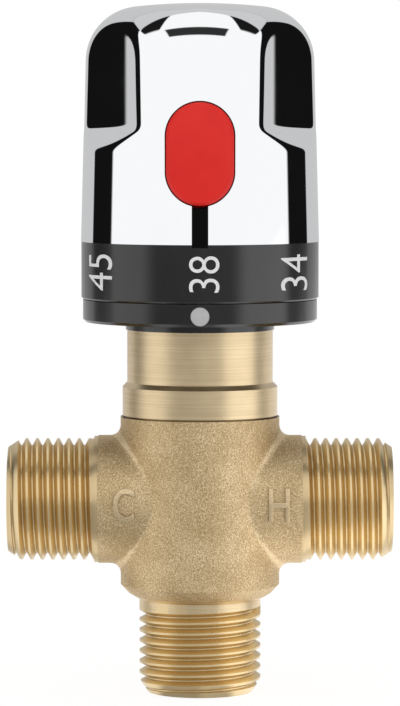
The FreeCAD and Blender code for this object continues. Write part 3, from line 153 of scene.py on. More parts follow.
def calculate(tree, operation, *values):
    """One Math node, for numbers or sockets."""
    inputs = dict(enumerate(values))
    return new_node(tree, "ShaderNodeMath", inputs, operation=operation).outputs[0]


def remap(tree, quantity, low, high, new_low=0.0, new_high=1.0, curve="LINEAR"):
    """Carries a quantity from one range to another, and holds it at the ends."""
    ends = {"Value": quantity, "From Min": low, "From Max": high,
            "To Min": new_low, "To Max": new_high}
    return new_node(tree, "ShaderNodeMapRange", ends, interpolation_type=curve).outputs[0]


def start_finish(name, **settings):
    """An empty material, whose constant inputs are set on its Principled shader."""
    finish = bpy.data.materials.new(name)
    finish.use_nodes = True
    shader = finish.node_tree.nodes["Principled BSDF"]
    for key, setting in settings.items():
        shader.inputs[key.replace("_", " ")].default_value = setting
    place = finish.node_tree.nodes.new("ShaderNodeTexCoord").outputs["Object"]
    return finish, finish.node_tree, shader, place


print("nodes can be added, wired and gathered into a finish")

# %% Patterns, colours and bumps
def grain(tree, place, size, detail=2.0):
    """Noise whose grains are about `size` metres across."""
    noise = {"Vector": place, "Scale": 1.0 / size, "Detail": detail}
    return new_node(tree, "ShaderNodeTexNoise", noise).outputs[0]


def distance_from(tree, place, axis):
    """Distance from the ports' axis, which is "X", or from the upright axis, "Z"."""
    keep, offset = {"X": ((0, 1, 1), (0, 0, -PORT_Z)), "Z": ((1, 1, 0), (0, 0, 0))}[axis]
    mapping = {"Vector": place, "Location": offset, "Scale": keep}
    flat = new_node(tree, "ShaderNodeMapping", mapping).outputs[0]
    return new_node(tree, "ShaderNodeVectorMath", {0: flat}, operation="LENGTH").outputs["Value"]


def blend_colours(tree, factor, stops):
    """A colour ramp: `stops` are (place, colour) pairs."""
    ramp = new_node(tree, "ShaderNodeValToRGB", {"Fac": factor})
    marks = ramp.color_ramp.elements
    for mark, (position, colour) in ((marks[0], stops[0]), (marks[1], stops[-1])):
        mark.position, mark.color = position, (*colour, 1)
    for position, colour in stops[1:-1]:
        marks.new(position).color = (*colour, 1)
    return ramp.outputs["Color"]


def roughen(tree, shader, height, depth, strength):
    """Turns a height into a bump of the given depth in metres."""
    bump = new_node(tree, "ShaderNodeBump",
                    {"Height": height, "Distance": depth, "Strength": strength})
    tree.links.new(bump.outputs["Normal"], shader.inputs["Normal"])


print("patterns, colours and bumps are ready for the finishes")

# %% [markdown]
# ## The studio
#
# Polished chrome shows nothing of its own, only what stands round it, so the studio comes
# first. A white tent stands in front. A tall black card on each side draws the dark bands on
# the knob. Behind it is grey, and overhead hangs a white box with a dark frame and a dark bar
# before its front edge. Under the horizon the tent is grey ahead, darkest in a thin band right
# at the horizon, between two bright boxes, and that gives the brass and the satin rings their
# soft stripes.
#
# Real cards would be planes that glow. Here they are painted into the world's background by
# direction, so the light comes from all sides at an even level and throws no hard edges.

# %% Cards by direction
DEGREES = 180 / math.pi


def edge_between(tree, quantity, low, high):
    """0 below `low`, 1 above `high`, smooth between."""
    return remap(tree, quantity, low, high, curve="SMOOTHSTEP")


def overlap(tree, one, other):
    """Where both masks are 1."""
    return calculate(tree, "MULTIPLY", one, other)


def span(tree, quantity, low, high, soft):
    """1 between two values of a quantity, 0 outside them."""
    above = edge_between(tree, quantity, low - soft, low + soft)
    below = edge_between(tree, quantity, high + soft, high - soft)
    return overlap(tree, above, below)


def hang(tree, light, where, level):
    """The light with a card of that level hung in front of it."""
    return new_node(tree, "ShaderNodeMix", {"Factor": where, "A": light, "B": level}).outputs[0]


def turned_aside(tree, x, y):
    """Degrees away from straight ahead of the valve, to either side."""
    angle = calculate(tree, "ARCTAN2", x, calculate(tree, "MULTIPLY", y, -1.0))
    return calculate(tree, "MULTIPLY", calculate(tree, "ABSOLUTE", angle), DEGREES)


# The right box stands so many degrees nearer the front, and is so much stronger.
RIGHT_NEARER, RIGHT_STRONGER = 12.0, 0.38
# How bright the low light is beside the valve and behind it.
BESIDE, BACK = 0.55, 0.85


def low_light(tree, x, y, ahead):
    """The light low down: grey ahead and a bright box on each side, stronger on the right."""
    right = edge_between(tree, x, -0.001, 0.001)
    reach = calculate(tree, "MULTIPLY_ADD", right, RIGHT_NEARER, turned_aside(tree, x, y))
    light = remap(tree, reach, 42, 60, ahead, 1.0, curve="SMOOTHSTEP")
    light = hang(tree, light, span(tree, reach, 106, 128, 5), BESIDE)
    light = hang(tree, light, edge_between(tree, reach, 126, 136), BACK)
    stronger = calculate(tree, "MULTIPLY_ADD", right, RIGHT_STRONGER, 1.0)
    return calculate(tree, "MULTIPLY", light, stronger)


print("cards can be hung by direction")

# %% [markdown]
# The world's background knows only a direction, so its angles are worked out first. `aside` is
# the turn away from straight ahead and `rise` the height above the horizon. `pitch` goes up
# from the front, over the top and down behind, and 14 degrees are added to it, so the overhead
# box's edges at about 90 lie 14 degrees in front of the point straight above.

# %% Directions in the studio
TIPPED = 14.0
world = bpy.data.worlds.new("studio")
bpy.context.scene.world = world
world.use_nodes = True
sky = world.node_tree
sky.nodes.clear()
heading = new_node(sky, "ShaderNodeTexCoord").outputs["Generated"]
split = new_node(sky, "ShaderNodeSeparateXYZ", {"Vector": heading})
east, north, up = (split.outputs[axis] for axis in "XYZ")
wide = calculate(sky, "ABSOLUTE", east)
aside = turned_aside(sky, east, north)
rise = calculate(sky, "MULTIPLY", calculate(sky, "ARCSINE", up), DEGREES)
upward = calculate(sky, "ARCTAN2", up, calculate(sky, "MULTIPLY", north, -1.0))
pitch = calculate(sky, "MULTIPLY_ADD", upward, DEGREES, TIPPED)
print("directions from", len(sky.nodes), "nodes")

# %% Hang the cards
# How bright each card is, from white paper at 1 to black cloth near 0.
WHITE, BEHIND, ABOVE = 1.0, 0.58, 0.62
BLACK, CARD_FRAME, BAR = 0.006, 0.01, 0.03
HORIZON, AHEAD = 0.09, 0.42

# The white tent, the grey behind it and the black card on each side.
light = hang(sky, WHITE, edge_between(sky, aside, 127, 129), BEHIND)
side_cards = overlap(sky, span(sky, aside, 95, 127.5, 1.5), span(sky, rise, -20, 62, 2))
light = hang(sky, light, side_cards, BLACK)

# The white box narrows away from the front, its dark frame follows it, and grey ends both.
high_up = edge_between(sky, rise, 44, 47)
box_above = overlap(sky, high_up, edge_between(sky, pitch, 88, 92))
light = hang(sky, light, box_above, WHITE)
slant = calculate(sky, "MULTIPLY_ADD", wide, 100.0, calculate(sky, "MULTIPLY", pitch, 0.8))
box_frame = overlap(sky, edge_between(sky, slant, 121, 123), edge_between(sky, pitch, 88, 94))
light = hang(sky, light, overlap(sky, high_up, box_frame), CARD_FRAME)
beyond = calculate(sky, "MULTIPLY_ADD", wide, 43.0, pitch)
light = hang(sky, light, overlap(sky, high_up, edge_between(sky, beyond, 134, 136)), ABOVE)
bar = overlap(sky, span(sky, pitch, 69, 88, 1.5), span(sky, east, -0.44, 0.36, 0.015))
light = hang(sky, light, bar, BAR)

# The tent's grey foot, darkest right at the horizon, and the two boxes beside it.
ahead = remap(sky, rise, -4.2, -5.2, HORIZON, AHEAD)
low_boxes = low_light(sky, east, north, ahead)
in_front = overlap(sky, edge_between(sky, rise, 0.5, 0.1), edge_between(sky, aside, 92, 84))
light = hang(sky, light, in_front, low_boxes)
light = hang(sky, light, edge_between(sky, rise, -2.6, -3.6), low_boxes)

# The valve is lit by the cards, and the camera sees plain white behind it.
lights = new_node(sky, "ShaderNodeBackground", {"Color": light, "Strength": 1.0})
backdrop = new_node(sky, "ShaderNodeBackground", {"Color": (1, 1, 1, 1), "Strength": 1.0})
seen = new_node(sky, "ShaderNodeLightPath").outputs["Is Camera Ray"]
either = new_node(sky, "ShaderNodeMixShader",
                  {0: seen, 1: lights.outputs[0], 2: backdrop.outputs[0]})
new_node(sky, "ShaderNodeOutputWorld", {"Surface": either.outputs[0]})
print("studio with", len(sky.nodes), "nodes")

# %% [markdown]
# ## The floor
#
# A pale table top, marked as stage because it isn't part of the valve. To the camera it is white
# like the backdrop, with a soft shadow where the outlet stands. More light would whiten it too,
# but would bleach the valve, so the table glows a little, for the camera alone. Reflections see
# the same grey and bright sectors on it as in the tent, so nothing breaks where the two meet.

# %% The floor
# A share of what the camera sees of the table glows, and the rest shows the valve's shadow.
GLOW, GLOW_SHARE = 1.145, 0.78
bpy.ops.mesh.primitive_circle_add(vertices=128, radius=0.5, fill_type="NGON",
                                  location=(0, 0, -0.2 * MM))
table_top = bpy.context.object
table_top.name = "table_top"
finish, tree, shader, place = start_finish("pale table", Base_Color=(0.82, 0.82, 0.82, 1),
                                           Roughness=0.8)
spot = new_node(tree, "ShaderNodeSeparateXYZ", {"Vector": place})
sector = low_light(tree, spot.outputs["X"], spot.outputs["Y"], AHEAD)
path = new_node(tree, "ShaderNodeLightPath")
bright = new_node(tree, "ShaderNodeEmission", {"Color": (1, 1, 1, 1), "Strength": GLOW})
mirrored = new_node(tree, "ShaderNodeEmission", {"Color": sector, "Strength": 1.0})
for_camera = calculate(tree, "MULTIPLY", path.outputs["Is Camera Ray"], GLOW_SHARE)
lit = new_node(tree, "ShaderNodeMixShader",
               {0: for_camera, 1: shader.outputs[0], 2: bright.outputs[0]})
whole = new_node(tree, "ShaderNodeMixShader",
                 {0: path.outputs["Is Glossy Ray"], 1: lit.outputs[0], 2: mirrored.outputs[0]})
tree.links.new(whole.outputs[0], tree.nodes["Material Output"].inputs["Surface"])
table_top.data.materials.append(finish)
table_top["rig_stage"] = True
print("table top:", round(table_top.dimensions.x, 2), "m across")

# %% [markdown]
# ## Brass, three ways
#
# One metal, three skins. The casting was blasted, so its skin is matt and finely grained, and a
# painted highlight lightens the rounded root between the barrel and the branches. Where a
# lathe has been, the brass is bright with fine rings from the tool. In the threads the flanks
# reflect each other, which turns them a deep golden brown towards the root, and painted shade
# makes the colour itself a little darker towards the root too.

# %% Cast brass
BARREL = 13.7 * MM
BRANCH = 11.05 * MM
cast_brass, tree, shader, place = start_finish("blasted cast brass", Metallic=1.0)
fine = grain(tree, place, 0.20 * MM, 1)
patches = grain(tree, place, 6 * MM, 3)
speckle = grain(tree, place, 0.5 * MM, 1)
tone = calculate(tree, "ADD", calculate(tree, "MULTIPLY", fine, 0.75),
                 calculate(tree, "MULTIPLY", patches, 0.25))
# Painted highlight: the brass is made lighter on the fillet, outside both the barrel's and the
# branch's radius.
outside = [calculate(tree, "SUBTRACT", distance_from(tree, place, axis), radius)
           for axis, radius in (("Z", BARREL), ("X", BRANCH))]
painted_fillet_highlight = edge_between(tree, calculate(tree, "MINIMUM", *outside), 0.03 * MM, 0.30 * MM)
tone = calculate(tree, "ADD", tone, calculate(tree, "MULTIPLY", painted_fillet_highlight, 0.12))
colour = blend_colours(tree, tone, [(0.36, (0.50, 0.36, 0.185)), (0.50, (0.69, 0.52, 0.29)),
                                    (0.64, (0.95, 0.77, 0.51))])
tree.links.new(colour, shader.inputs["Base Color"])
tree.links.new(remap(tree, speckle, 0, 1, 0.46, 0.62), shader.inputs["Roughness"])
roughen(tree, shader, fine, 0.10 * MM, 0.8)
print("cast brass:", len(tree.nodes), "nodes")

# %% Turned brass
def turned_finish(name, along_axis, light_colour, dark_colour):
    """Bright brass with fine rings: the noise is drawn out in all directions but one."""
    finish, tree, shader, place = start_finish(name, Metallic=1.0, Roughness=0.2)
    along = new_node(tree, "ShaderNodeMapping", {"Vector": place, "Scale": along_axis}).outputs[0]
    rings = grain(tree, along, 0.22 * MM, 3.0)
    cloud = calculate(tree, "MULTIPLY", grain(tree, place, 6 * MM), 0.4)
    mottle = calculate(tree, "MULTIPLY_ADD", rings, 0.6, cloud)
    tint = blend_colours(tree, mottle, [(0.36, dark_colour), (0.64, light_colour)])
    tree.links.new(tint, shader.inputs["Base Color"])
    tree.links.new(remap(tree, rings, 0, 1, 0.26, 0.38), shader.inputs["Roughness"])
    roughen(tree, shader, rings, 0.012 * MM, 0.6)
    return finish


UPRIGHT, ALONG_PORTS = (0.01, 0.01, 1), (1, 0.01, 0.01)
turned_upright = turned_finish("brass turned upright", UPRIGHT,
                               (0.86, 0.69, 0.44), (0.70, 0.545, 0.33))
turned_ports = turned_finish("brass turned along the ports", ALONG_PORTS,
                             (0.80, 0.62, 0.36), (0.66, 0.50, 0.28))
# Painted shade: the groove at the neck's root gets brass coloured dark brown, as shade in the
# recess.
groove_shade_brass = turned_finish("brass painted dark as groove shade", UPRIGHT,
                             (0.30, 0.21, 0.10), (0.20, 0.13, 0.06))
print("turned brass for the neck, the ports and the groove")

# %% Threaded brass
def thread_finish(name, axis):
    """Brass that is painted a little darker at the thread's root than at its crest, as shade."""
    finish, tree, shader, place = start_finish(name, Metallic=1.0, Roughness=0.34)
    # Painted shade: the colour darkens from the crest down to the root.
    up_the_flank = remap(tree, distance_from(tree, place, axis), ROOT, CREST)
    colour = blend_colours(tree, up_the_flank,
                           [(0.0, (0.72, 0.56, 0.32)), (0.55, (0.82, 0.65, 0.38)),
                            (0.92, (0.86, 0.68, 0.39)), (1.0, (0.84, 0.65, 0.37))])
    tree.links.new(colour, shader.inputs["Base Color"])
    roughen(tree, shader, grain(tree, place, 0.25 * MM), 0.012 * MM, 0.5)
    return finish


thread_ports = thread_finish("brass thread of the ports", "X")
thread_outlet = thread_finish("brass thread of the outlet", "Z")
print("threads from root", round(ROOT / MM, 3), "to crest", round(CREST / MM, 3), "mm")

# %% [markdown]
# ## Helpers for meshes
#
# Operators act on what is selected, as for a hand at the screen, so `only` and `open_mesh`
# see to that. `pick` selects faces by a test on their centre, the way a hand would click them.
# `cut` runs a Boolean and applies it. `own_copy` takes a CAD node's loose triangles and merges
# them into a closed mesh that may be changed, and `finish_piece` hands a piece over.

# %% Select and edit
def only(piece):
    """Selects this piece alone and makes it active."""
    bpy.ops.object.select_all(action="DESELECT")
    piece.select_set(True)
    bpy.context.view_layer.objects.active = piece
    return piece


def open_mesh(piece, choose="SELECT"):
    """Enters edit mode on this piece, with all of its mesh selected, or none of it."""
    only(piece)
    bpy.ops.object.mode_set(mode="EDIT")
    bpy.ops.mesh.select_all(action=choose)


def leave():
    """Goes back to object mode."""
    bpy.ops.object.mode_set(mode="OBJECT")


def pick(piece, test):
    """Selects, in edit mode, the faces whose centre passes the test."""
    open_mesh(piece, "DESELECT")
    bpy.ops.mesh.select_mode(type="FACE")
    leave()
    for face in piece.data.polygons:
        face.select = test(face.center)
    bpy.ops.object.mode_set(mode="EDIT")


print("pieces can be picked and opened, of", len(bpy.data.meshes), "meshes")

# %% Move, round and cut
def move(piece, *steps):
    """Moves or turns the mesh itself, one step after another, and leaves the origin."""
    for step in steps:
        piece.data.transform(step)
    return piece


def shift(x, y, z):
    """A move by so much along each axis."""
    return Matrix.Translation((x, y, z))


def turn(degrees, axis):
    """A turn about an axis through the origin."""
    return Matrix.Rotation(math.radians(degrees), 4, axis)


def apply(piece, kind, **settings):
    """Adds a modifier, sets it and applies it."""
    only(piece)
    modifier = piece.modifiers.new(kind.title(), kind)
    for name, setting in settings.items():
        setattr(modifier, name, setting)
    bpy.ops.object.modifier_apply(modifier=modifier.name)
    return piece


def round_edges(piece, width, segments, sharper_than):
    """Bevels every edge that is sharper than so many degrees."""
    return apply(piece, "BEVEL", width=width, segments=segments, limit_method="ANGLE",
                 angle_limit=math.radians(sharper_than))


def cut(piece, tool, operation="DIFFERENCE"):
    """Applies a Boolean with the tool, then throws the tool away."""
    apply(piece, "BOOLEAN", object=tool, operation=operation, solver="EXACT")
    bpy.data.objects.remove(tool)
    return piece


def settle(piece, name, angle):
    """Puts the piece's place into its mesh, names it and shades its round faces smooth."""
    only(piece)
    bpy.ops.object.transform_apply(location=True, rotation=True, scale=True)
    bpy.ops.object.shade_smooth_by_angle(angle=math.radians(angle))
    piece.name = name
    return piece


print("pieces can be moved, rounded, cut and settled")

# %% Take a CAD piece, hand a piece over
def own_copy(node, name):
    """A merged copy of a CAD node, which stands for it from now on."""
    piece = frame["nodes"][node].copy()
    piece.data = piece.data.copy()
    piece.parent = None
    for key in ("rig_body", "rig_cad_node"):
        if key in piece:
            del piece[key]
    bpy.context.scene.collection.objects.link(piece)
    piece.name = name
    piece.data.materials.clear()
    open_mesh(piece)
    bpy.ops.mesh.remove_doubles(threshold=0.002 * MM)
    leave()
    bpy.ops.mesh.customdata_custom_splitnormals_clear()
    return piece


def finish_piece(piece, body, slot, material, *nodes):
    """Gives a piece its material and its body, and hides the CAD nodes it stands for; the slot is
    not used.
    """
    if material:
        piece.data.materials.append(material)
    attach(piece, body)
    if nodes:
        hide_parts(*nodes)
    print(piece.name, "has", len(piece.data.polygons), "faces")
    return piece


print(len(frame["nodes"]), "CAD pieces can be copied or dressed")

# %% [markdown]
# ## The casting and its threads
#
# The CAD casting has plain round spigots. A thread is a V-shaped groove wound round a spigot, so
# a small plane is bent into the V's outline, and the Screw modifier winds it into a helix. That
# helix is a cutter: a Boolean takes it out of the casting, once per port. Winding and cutting
# gives real flanks that catch the light, where a bump would leave the outline smooth.

# %% A helical cutter
GROOVE_FLOOR = 0.10 * MM
GROOVE_MOUTH = 0.86 * MM
CLEAR_OF_CREST = 0.25 * MM
TURNS = 9


def thread_cutter(start):
    """A V groove wound upwards about Z from this height."""
    bpy.ops.mesh.primitive_plane_add(size=1)
    cutter = bpy.context.object
    for vertex in cutter.data.vertices:
        outer = vertex.co.x > 0
        half = math.copysign(GROOVE_MOUTH if outer else GROOVE_FLOOR, vertex.co.y)
        vertex.co = (CREST + CLEAR_OF_CREST if outer else ROOT, 0, half)
    apply(cutter, "SCREW", axis="Z", screw_offset=PITCH, iterations=TURNS, steps=56,
          render_steps=56, use_normal_calculate=True)
    open_mesh(cutter)
    bpy.ops.mesh.fill_holes(sides=4)
    bpy.ops.mesh.normals_make_consistent(inside=False)
    leave()
    return move(cutter, shift(0, 0, start))


SPIGOT_X = 18.1 * MM
BELOW_OUTLET = -2.0 * MM
casting = own_copy("valve_body", "brass_casting")
for quarter in (90, -90):
    cut(casting, move(thread_cutter(SPIGOT_X), turn(quarter, "Y"), shift(0, 0, PORT_Z)))
cut(casting, thread_cutter(BELOW_OUTLET))
settle(casting, "brass_casting", 30)
print("threaded casting:", len(casting.data.polygons), "faces")

# %% [markdown]
# ## Which skin goes where
#
# A real casting is machined only where it must be, so its skins meet at clean borders. The faces
# are sorted by where they lie. Along each port come the turned shoulder, the thread and the end
# face. The outlet has a thread below and a turned bore. The neck is turned, the groove at its
# root is painted dark brown as shade, and the rest is as cast. Sorting by place keeps working
# when a size changes a little, which picking face by face would not.

# %% Sort the casting's faces
SKINS = (cast_brass, turned_upright, turned_ports, thread_ports, thread_outlet, groove_shade_brass)
CAST, TURNED, PORT_TURNED, PORT_THREAD, OUTLET_THREAD, GROOVE = range(len(SKINS))
# Along a port, the shoulder comes first, then the spigot, its thread and its end face.
SHOULDER_X, THREAD_X, END_X = 17.45 * MM, 19.2 * MM, 32.9 * MM
# Radii that lie between a bore's wall and what is outside it.
THREAD_BORE, PORT_BORE, NECK_BORE = 8.0 * MM, 7.6 * MM, 11.4 * MM
PORT_BORE_FROM = 12 * MM
OUTLET_THREAD_LOW, OUTLET_THREAD_TOP, OUTLET_TOP = 0.1 * MM, 15.2 * MM, 16.0 * MM
NECK_FOOT = 47.65 * MM
GROOVE_LOW, GROOVE_TOP, GROOVE_RADIUS = 47.68 * MM, 48.02 * MM, 12.4 * MM


def skin_of(centre):
    """Number of the skin for a face of the casting."""
    out = abs(centre.x)
    from_port = math.hypot(centre.y, centre.z - PORT_Z)
    from_axis = math.hypot(centre.x, centre.y)
    if out > SPIGOT_X:
        threaded = from_port > THREAD_BORE and THREAD_X < out < END_X
        return PORT_THREAD if threaded else PORT_TURNED
    if out > SHOULDER_X or (from_port < PORT_BORE and out > PORT_BORE_FROM):
        return PORT_TURNED
    if centre.z < OUTLET_TOP:
        in_thread = OUTLET_THREAD_LOW < centre.z < OUTLET_THREAD_TOP
        threaded = from_axis > THREAD_BORE and in_thread
        return OUTLET_THREAD if threaded else TURNED
    if GROOVE_LOW < centre.z < GROOVE_TOP and from_axis > GROOVE_RADIUS:
        return GROOVE
    if centre.z > NECK_FOOT or from_axis < NECK_BORE:
        return TURNED
    return CAST


for skin in SKINS:
    casting.data.materials.append(skin)
for face in casting.data.polygons:
    face.material_index = skin_of(face.center)
finish_piece(casting, "root", "cast_brass", None, "valve_body")

# %% [markdown]
# ## The cast letters
#
# C and H stand slightly proud of the branches, for cold and hot. Each is a text turned into a
# mesh, made a bar, and cut down to the part that lies inside a thin shell round the branch, so
# its face follows the round branch. Sand rounds every edge of a cast letter, so a Bevel does too.

# %% A bar of text and a shell
def text_bar(words, height, length, low, high, weight):
    """Upright text of this height and length as a bar that runs from y = -high to y = -low."""
    bpy.ops.object.text_add()
    text = bpy.context.object
    text.data.body = words
    text.data.align_x = "CENTER"
    text.data.align_y = "CENTER"
    text.data.size = 1.0
    text.data.offset = weight
    text.data.resolution_u = 6
    text.data.extrude = (high - low) / 2
    bpy.ops.object.convert(target="MESH")
    bar = bpy.context.object
    xs = [v.co.x for v in bar.data.vertices]
    ys = [v.co.y for v in bar.data.vertices]
    grow = Matrix.Diagonal((length / (max(xs) - min(xs)), height / (max(ys) - min(ys)), 1, 1))
    move(bar, shift(-(max(xs) + min(xs)) / 2, -(max(ys) + min(ys)) / 2, 0), grow,
         turn(90, "X"), shift(0, -(low + high) / 2, 0))
    open_mesh(bar)
    bpy.ops.mesh.remove_doubles(threshold=0.001 * MM)
    bpy.ops.mesh.normals_make_consistent(inside=False)
    leave()
    return bar


def shell(inner, outer, length):
    """A thin tube about Z, to cut a bar down to a curved sheet."""
    bpy.ops.mesh.primitive_cylinder_add(vertices=256, radius=outer, depth=length)
    tube = bpy.context.object
    bpy.ops.mesh.primitive_cylinder_add(vertices=256, radius=inner, depth=length * 2)
    return cut(tube, bpy.context.object)


print("a bar of text and a shell, for the letters and the numerals")

# %% The letters' finish
LETTER_FACE = 11.52 * MM
letter_brass, tree, shader, place = start_finish("cast letter", Metallic=1.0, Roughness=0.45)
# Painted shade and highlight: the colour darkens towards the letters' foot on the branch and
# lightens towards their face, over a fine grain.
proud = remap(tree, distance_from(tree, place, "X"), BRANCH, LETTER_FACE)
grain_and_painted_light = calculate(tree, "MULTIPLY_ADD", grain(tree, place, 0.2 * MM, 1), 0.5,
                 calculate(tree, "MULTIPLY", proud, 0.7))
colour = blend_colours(tree, grain_and_painted_light, [(0.35, (0.16, 0.10, 0.045)), (0.72, (0.50, 0.37, 0.20)),
                                    (1.0, (0.86, 0.68, 0.43))])
tree.links.new(colour, shader.inputs["Base Color"])
print("letters stand", round((LETTER_FACE - BRANCH) / MM, 2), "mm proud")

# %% The letters
LETTER_TALL, LETTER_WIDE = 5.8 * MM, 3.6 * MM
LETTER_BACK = 10.9 * MM
for words, across in (("C", -13.0 * MM), ("H", 13.5 * MM)):
    letter = text_bar(words, LETTER_TALL, LETTER_WIDE, 9 * MM, 13 * MM, weight=0.015)
    sheet = move(shell(LETTER_BACK, LETTER_FACE, 12 * MM), turn(90, "Y"))
    letter = move(cut(letter, sheet, "INTERSECT"), shift(across, 0, PORT_Z))
    round_edges(letter, 0.09 * MM, 2, sharper_than=40)
    settle(letter, "cast_letter_" + words.lower(), 60)
    finish_piece(letter, "root", "cast_brass", letter_brass)

# %% [markdown]
# ## Chrome
#
# Chrome plate is nearly a mirror: fully metallic, almost white, with hardly any roughness. A
# faint uneven gloss keeps it from looking like a computer's mirror.

# %% Chrome finish
chrome, tree, shader, place = start_finish("polished chrome", Base_Color=(0.93, 0.94, 0.955, 1),
                                           Metallic=1.0)
handled = remap(tree, grain(tree, place, 9 * MM, 3), 0.35, 0.75, 0.015, 0.05)
tree.links.new(handled, shader.inputs["Roughness"])
print("chrome:", len(tree.nodes), "nodes")

# %% [markdown]
# ## The knob's polished form
#
# The cap is a tapered cup with a round shoulder and a gently domed top, and three long scallops
# for the fingers, each ending on a sloping ledge. Cutting the scallops with Booleans would leave
# edges that a mirror finish shows at once. So the form is written as a distance: how far a point
# lies outside the cup, or inside a scallop. The place where that distance is zero is the cap's
# skin, with its edges rounded by a smooth maximum.
#
# This part is in millimetres, from the knob's axis outwards and from the ground up.

# %% The form as a distance
SHOULDER_R = 9.5
SHOULDER_AT = (10.16, 108.65)
DOME_R = 105.0
DOME_Z = 118.7 - DOME_R
TAPER = math.radians(1.5)
SCALLOPS = 3
SCALLOP_R = 80.0
SCALLOP_AT = 16.75 + SCALLOP_R
SCALLOP_FOOT = 97.4
LEDGE = math.radians(44)
FOOT_SOFT, EDGE_SOFT = 0.5, 0.9


def smooth_max(a, b, soft):
    """The larger of two distances, rounded over `soft` millimetres where they meet."""
    h = np.clip(0.5 + 0.5 * (a - b) / soft, 0, 1)
    return b + (a - b) * h + soft * h * (1 - h)


def cup_distance(r, z):
    """Millimetres outside the turned cup."""
    across, up = r - SHOULDER_AT[0], z - SHOULDER_AT[1]
    side = across * math.cos(TAPER) + up * math.sin(TAPER) - SHOULDER_R
    dome = np.hypot(r, z - DOME_Z) - DOME_R
    round_part = np.hypot(across, up) - SHOULDER_R
    below = up * math.cos(TAPER) - across * math.sin(TAPER) < 0
    dome_slope = SHOULDER_AT[0] / (SHOULDER_AT[1] - DOME_Z)
    inside = across < up * dome_slope
    return np.where(below, side, np.where(inside, dome, round_part))


def cap_distance(x, y, z):
    """Millimetres outside the cap with its scallops."""
    distance = cup_distance(np.hypot(x, y), z)
    for number in range(SCALLOPS):
        around = math.radians(90 + 360 / SCALLOPS * number)
        gap = np.hypot(x - SCALLOP_AT * math.cos(around), y - SCALLOP_AT * math.sin(around))
        gap -= SCALLOP_R
        ledge = (SCALLOP_FOOT + gap * math.tan(LEDGE) - z) * math.cos(LEDGE)
        distance = smooth_max(distance, -smooth_max(gap, ledge, FOOT_SOFT), EDGE_SOFT)
    return distance


print("the top's middle is", round(float(cap_distance(0.0, 0.0, 118.7)), 3), "mm off the skin")

# %% [markdown]
# A fine grid is now wrapped onto that skin. Each of its rows becomes a ring and each point
# travels along a ray until the distance turns from inside to outside. The rays of the side run
# level. Those of the top all start at one height and fan upwards, which keeps the rings even
# over the shoulder and the dome.

# %% Wrap a grid onto the form
CAP_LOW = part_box("knob_cap")[0].z / MM
AROUND, SIDE_RINGS, TOP_RINGS = 288, 112, 60
SIDE_TOP = 107.0
FARTHEST, HALVINGS = 40.0, 40


def rays():
    """Where each ring's rays start and how steeply they rise, from the foot to the middle."""
    sides = [(height, 0.0) for height in np.linspace(CAP_LOW, SIDE_TOP, SIDE_RINGS)]
    over = [(SIDE_TOP, angle) for angle in np.linspace(0, math.pi / 2, TOP_RINGS + 1)[1:-1]]
    return sides + over


def reach_of(start, slope, around):
    """How far along each ray the form's skin lies, found by halving."""
    near, far = np.zeros_like(around), np.full_like(around, FARTHEST)
    for halving in range(HALVINGS):
        middle = (near + far) / 2
        out, height = middle * math.cos(slope), start + middle * math.sin(slope)
        outside = cap_distance(out * np.cos(around), out * np.sin(around), height) > 0
        far, near = np.where(outside, middle, far), np.where(outside, near, middle)
    return near


ring_rays = rays()
last_row = len(ring_rays) - 1
bpy.ops.mesh.primitive_grid_add(x_subdivisions=AROUND, y_subdivisions=last_row, size=1)
cap = bpy.context.object
columns = np.array([v.co.x for v in cap.data.vertices])
rows = np.array([v.co.y for v in cap.data.vertices])
row_of = np.rint((rows + 0.5) * last_row).astype(int)
angle_of = (columns + 0.5) * 2 * math.pi
places = np.zeros((len(columns), 3))
for ring, (start, slope) in enumerate(ring_rays):
    here = row_of == ring
    around = angle_of[here]
    reach = reach_of(start, slope, around)
    out, height = reach * math.cos(slope), start + reach * math.sin(slope)
    places[here] = np.stack([out * np.cos(around), out * np.sin(around), height], axis=1) * MM
cap.data.vertices.foreach_set("co", places.ravel())
cap.data.update()
print("cap's skin:", len(cap.data.polygons), "faces")

# %% [markdown]
# The wrapped grid meets itself in a seam, which is merged, and its last small ring is drawn
# together to close the top. Solidify then gives the cup its wall, inwards, and two Booleans cut
# the window for the button and the slot under it for the scale ring's key.

# %% Close the cup and give it a wall
WALL = 1.9 * MM
open_mesh(cap)
bpy.ops.mesh.remove_doubles(threshold=0.002 * MM)
bpy.ops.mesh.select_all(action="DESELECT")
leave()
top = max(v.co.z for v in cap.data.vertices)
for vertex in cap.data.vertices:
    middle = math.hypot(vertex.co.x, vertex.co.y) < 0.4 * MM
    vertex.select = middle or vertex.co.z > top - 0.0001 * MM
bpy.ops.object.mode_set(mode="EDIT")
bpy.ops.mesh.select_mode(type="VERT")
bpy.ops.mesh.merge(type="CENTER")
bpy.ops.mesh.select_all(action="SELECT")
bpy.ops.mesh.normals_make_consistent(inside=False)
leave()
apply(cap, "SOLIDIFY", thickness=WALL, offset=-1)
print("cap with a wall of", round(WALL / MM, 1), "mm:", len(cap.data.polygons), "faces")

# %% Cut the window and the key's slot
WINDOW_WIDE, WINDOW_TALL = 11.84 * MM, 17.74 * MM
WINDOW_MIDDLE = 93.1 * MM
SLOT_WIDE, SLOT_DEEP, SLOT_TALL = 2.76 * MM, 12 * MM, 10 * MM
SLOT_AT = (0, -18 * MM, 81 * MM)


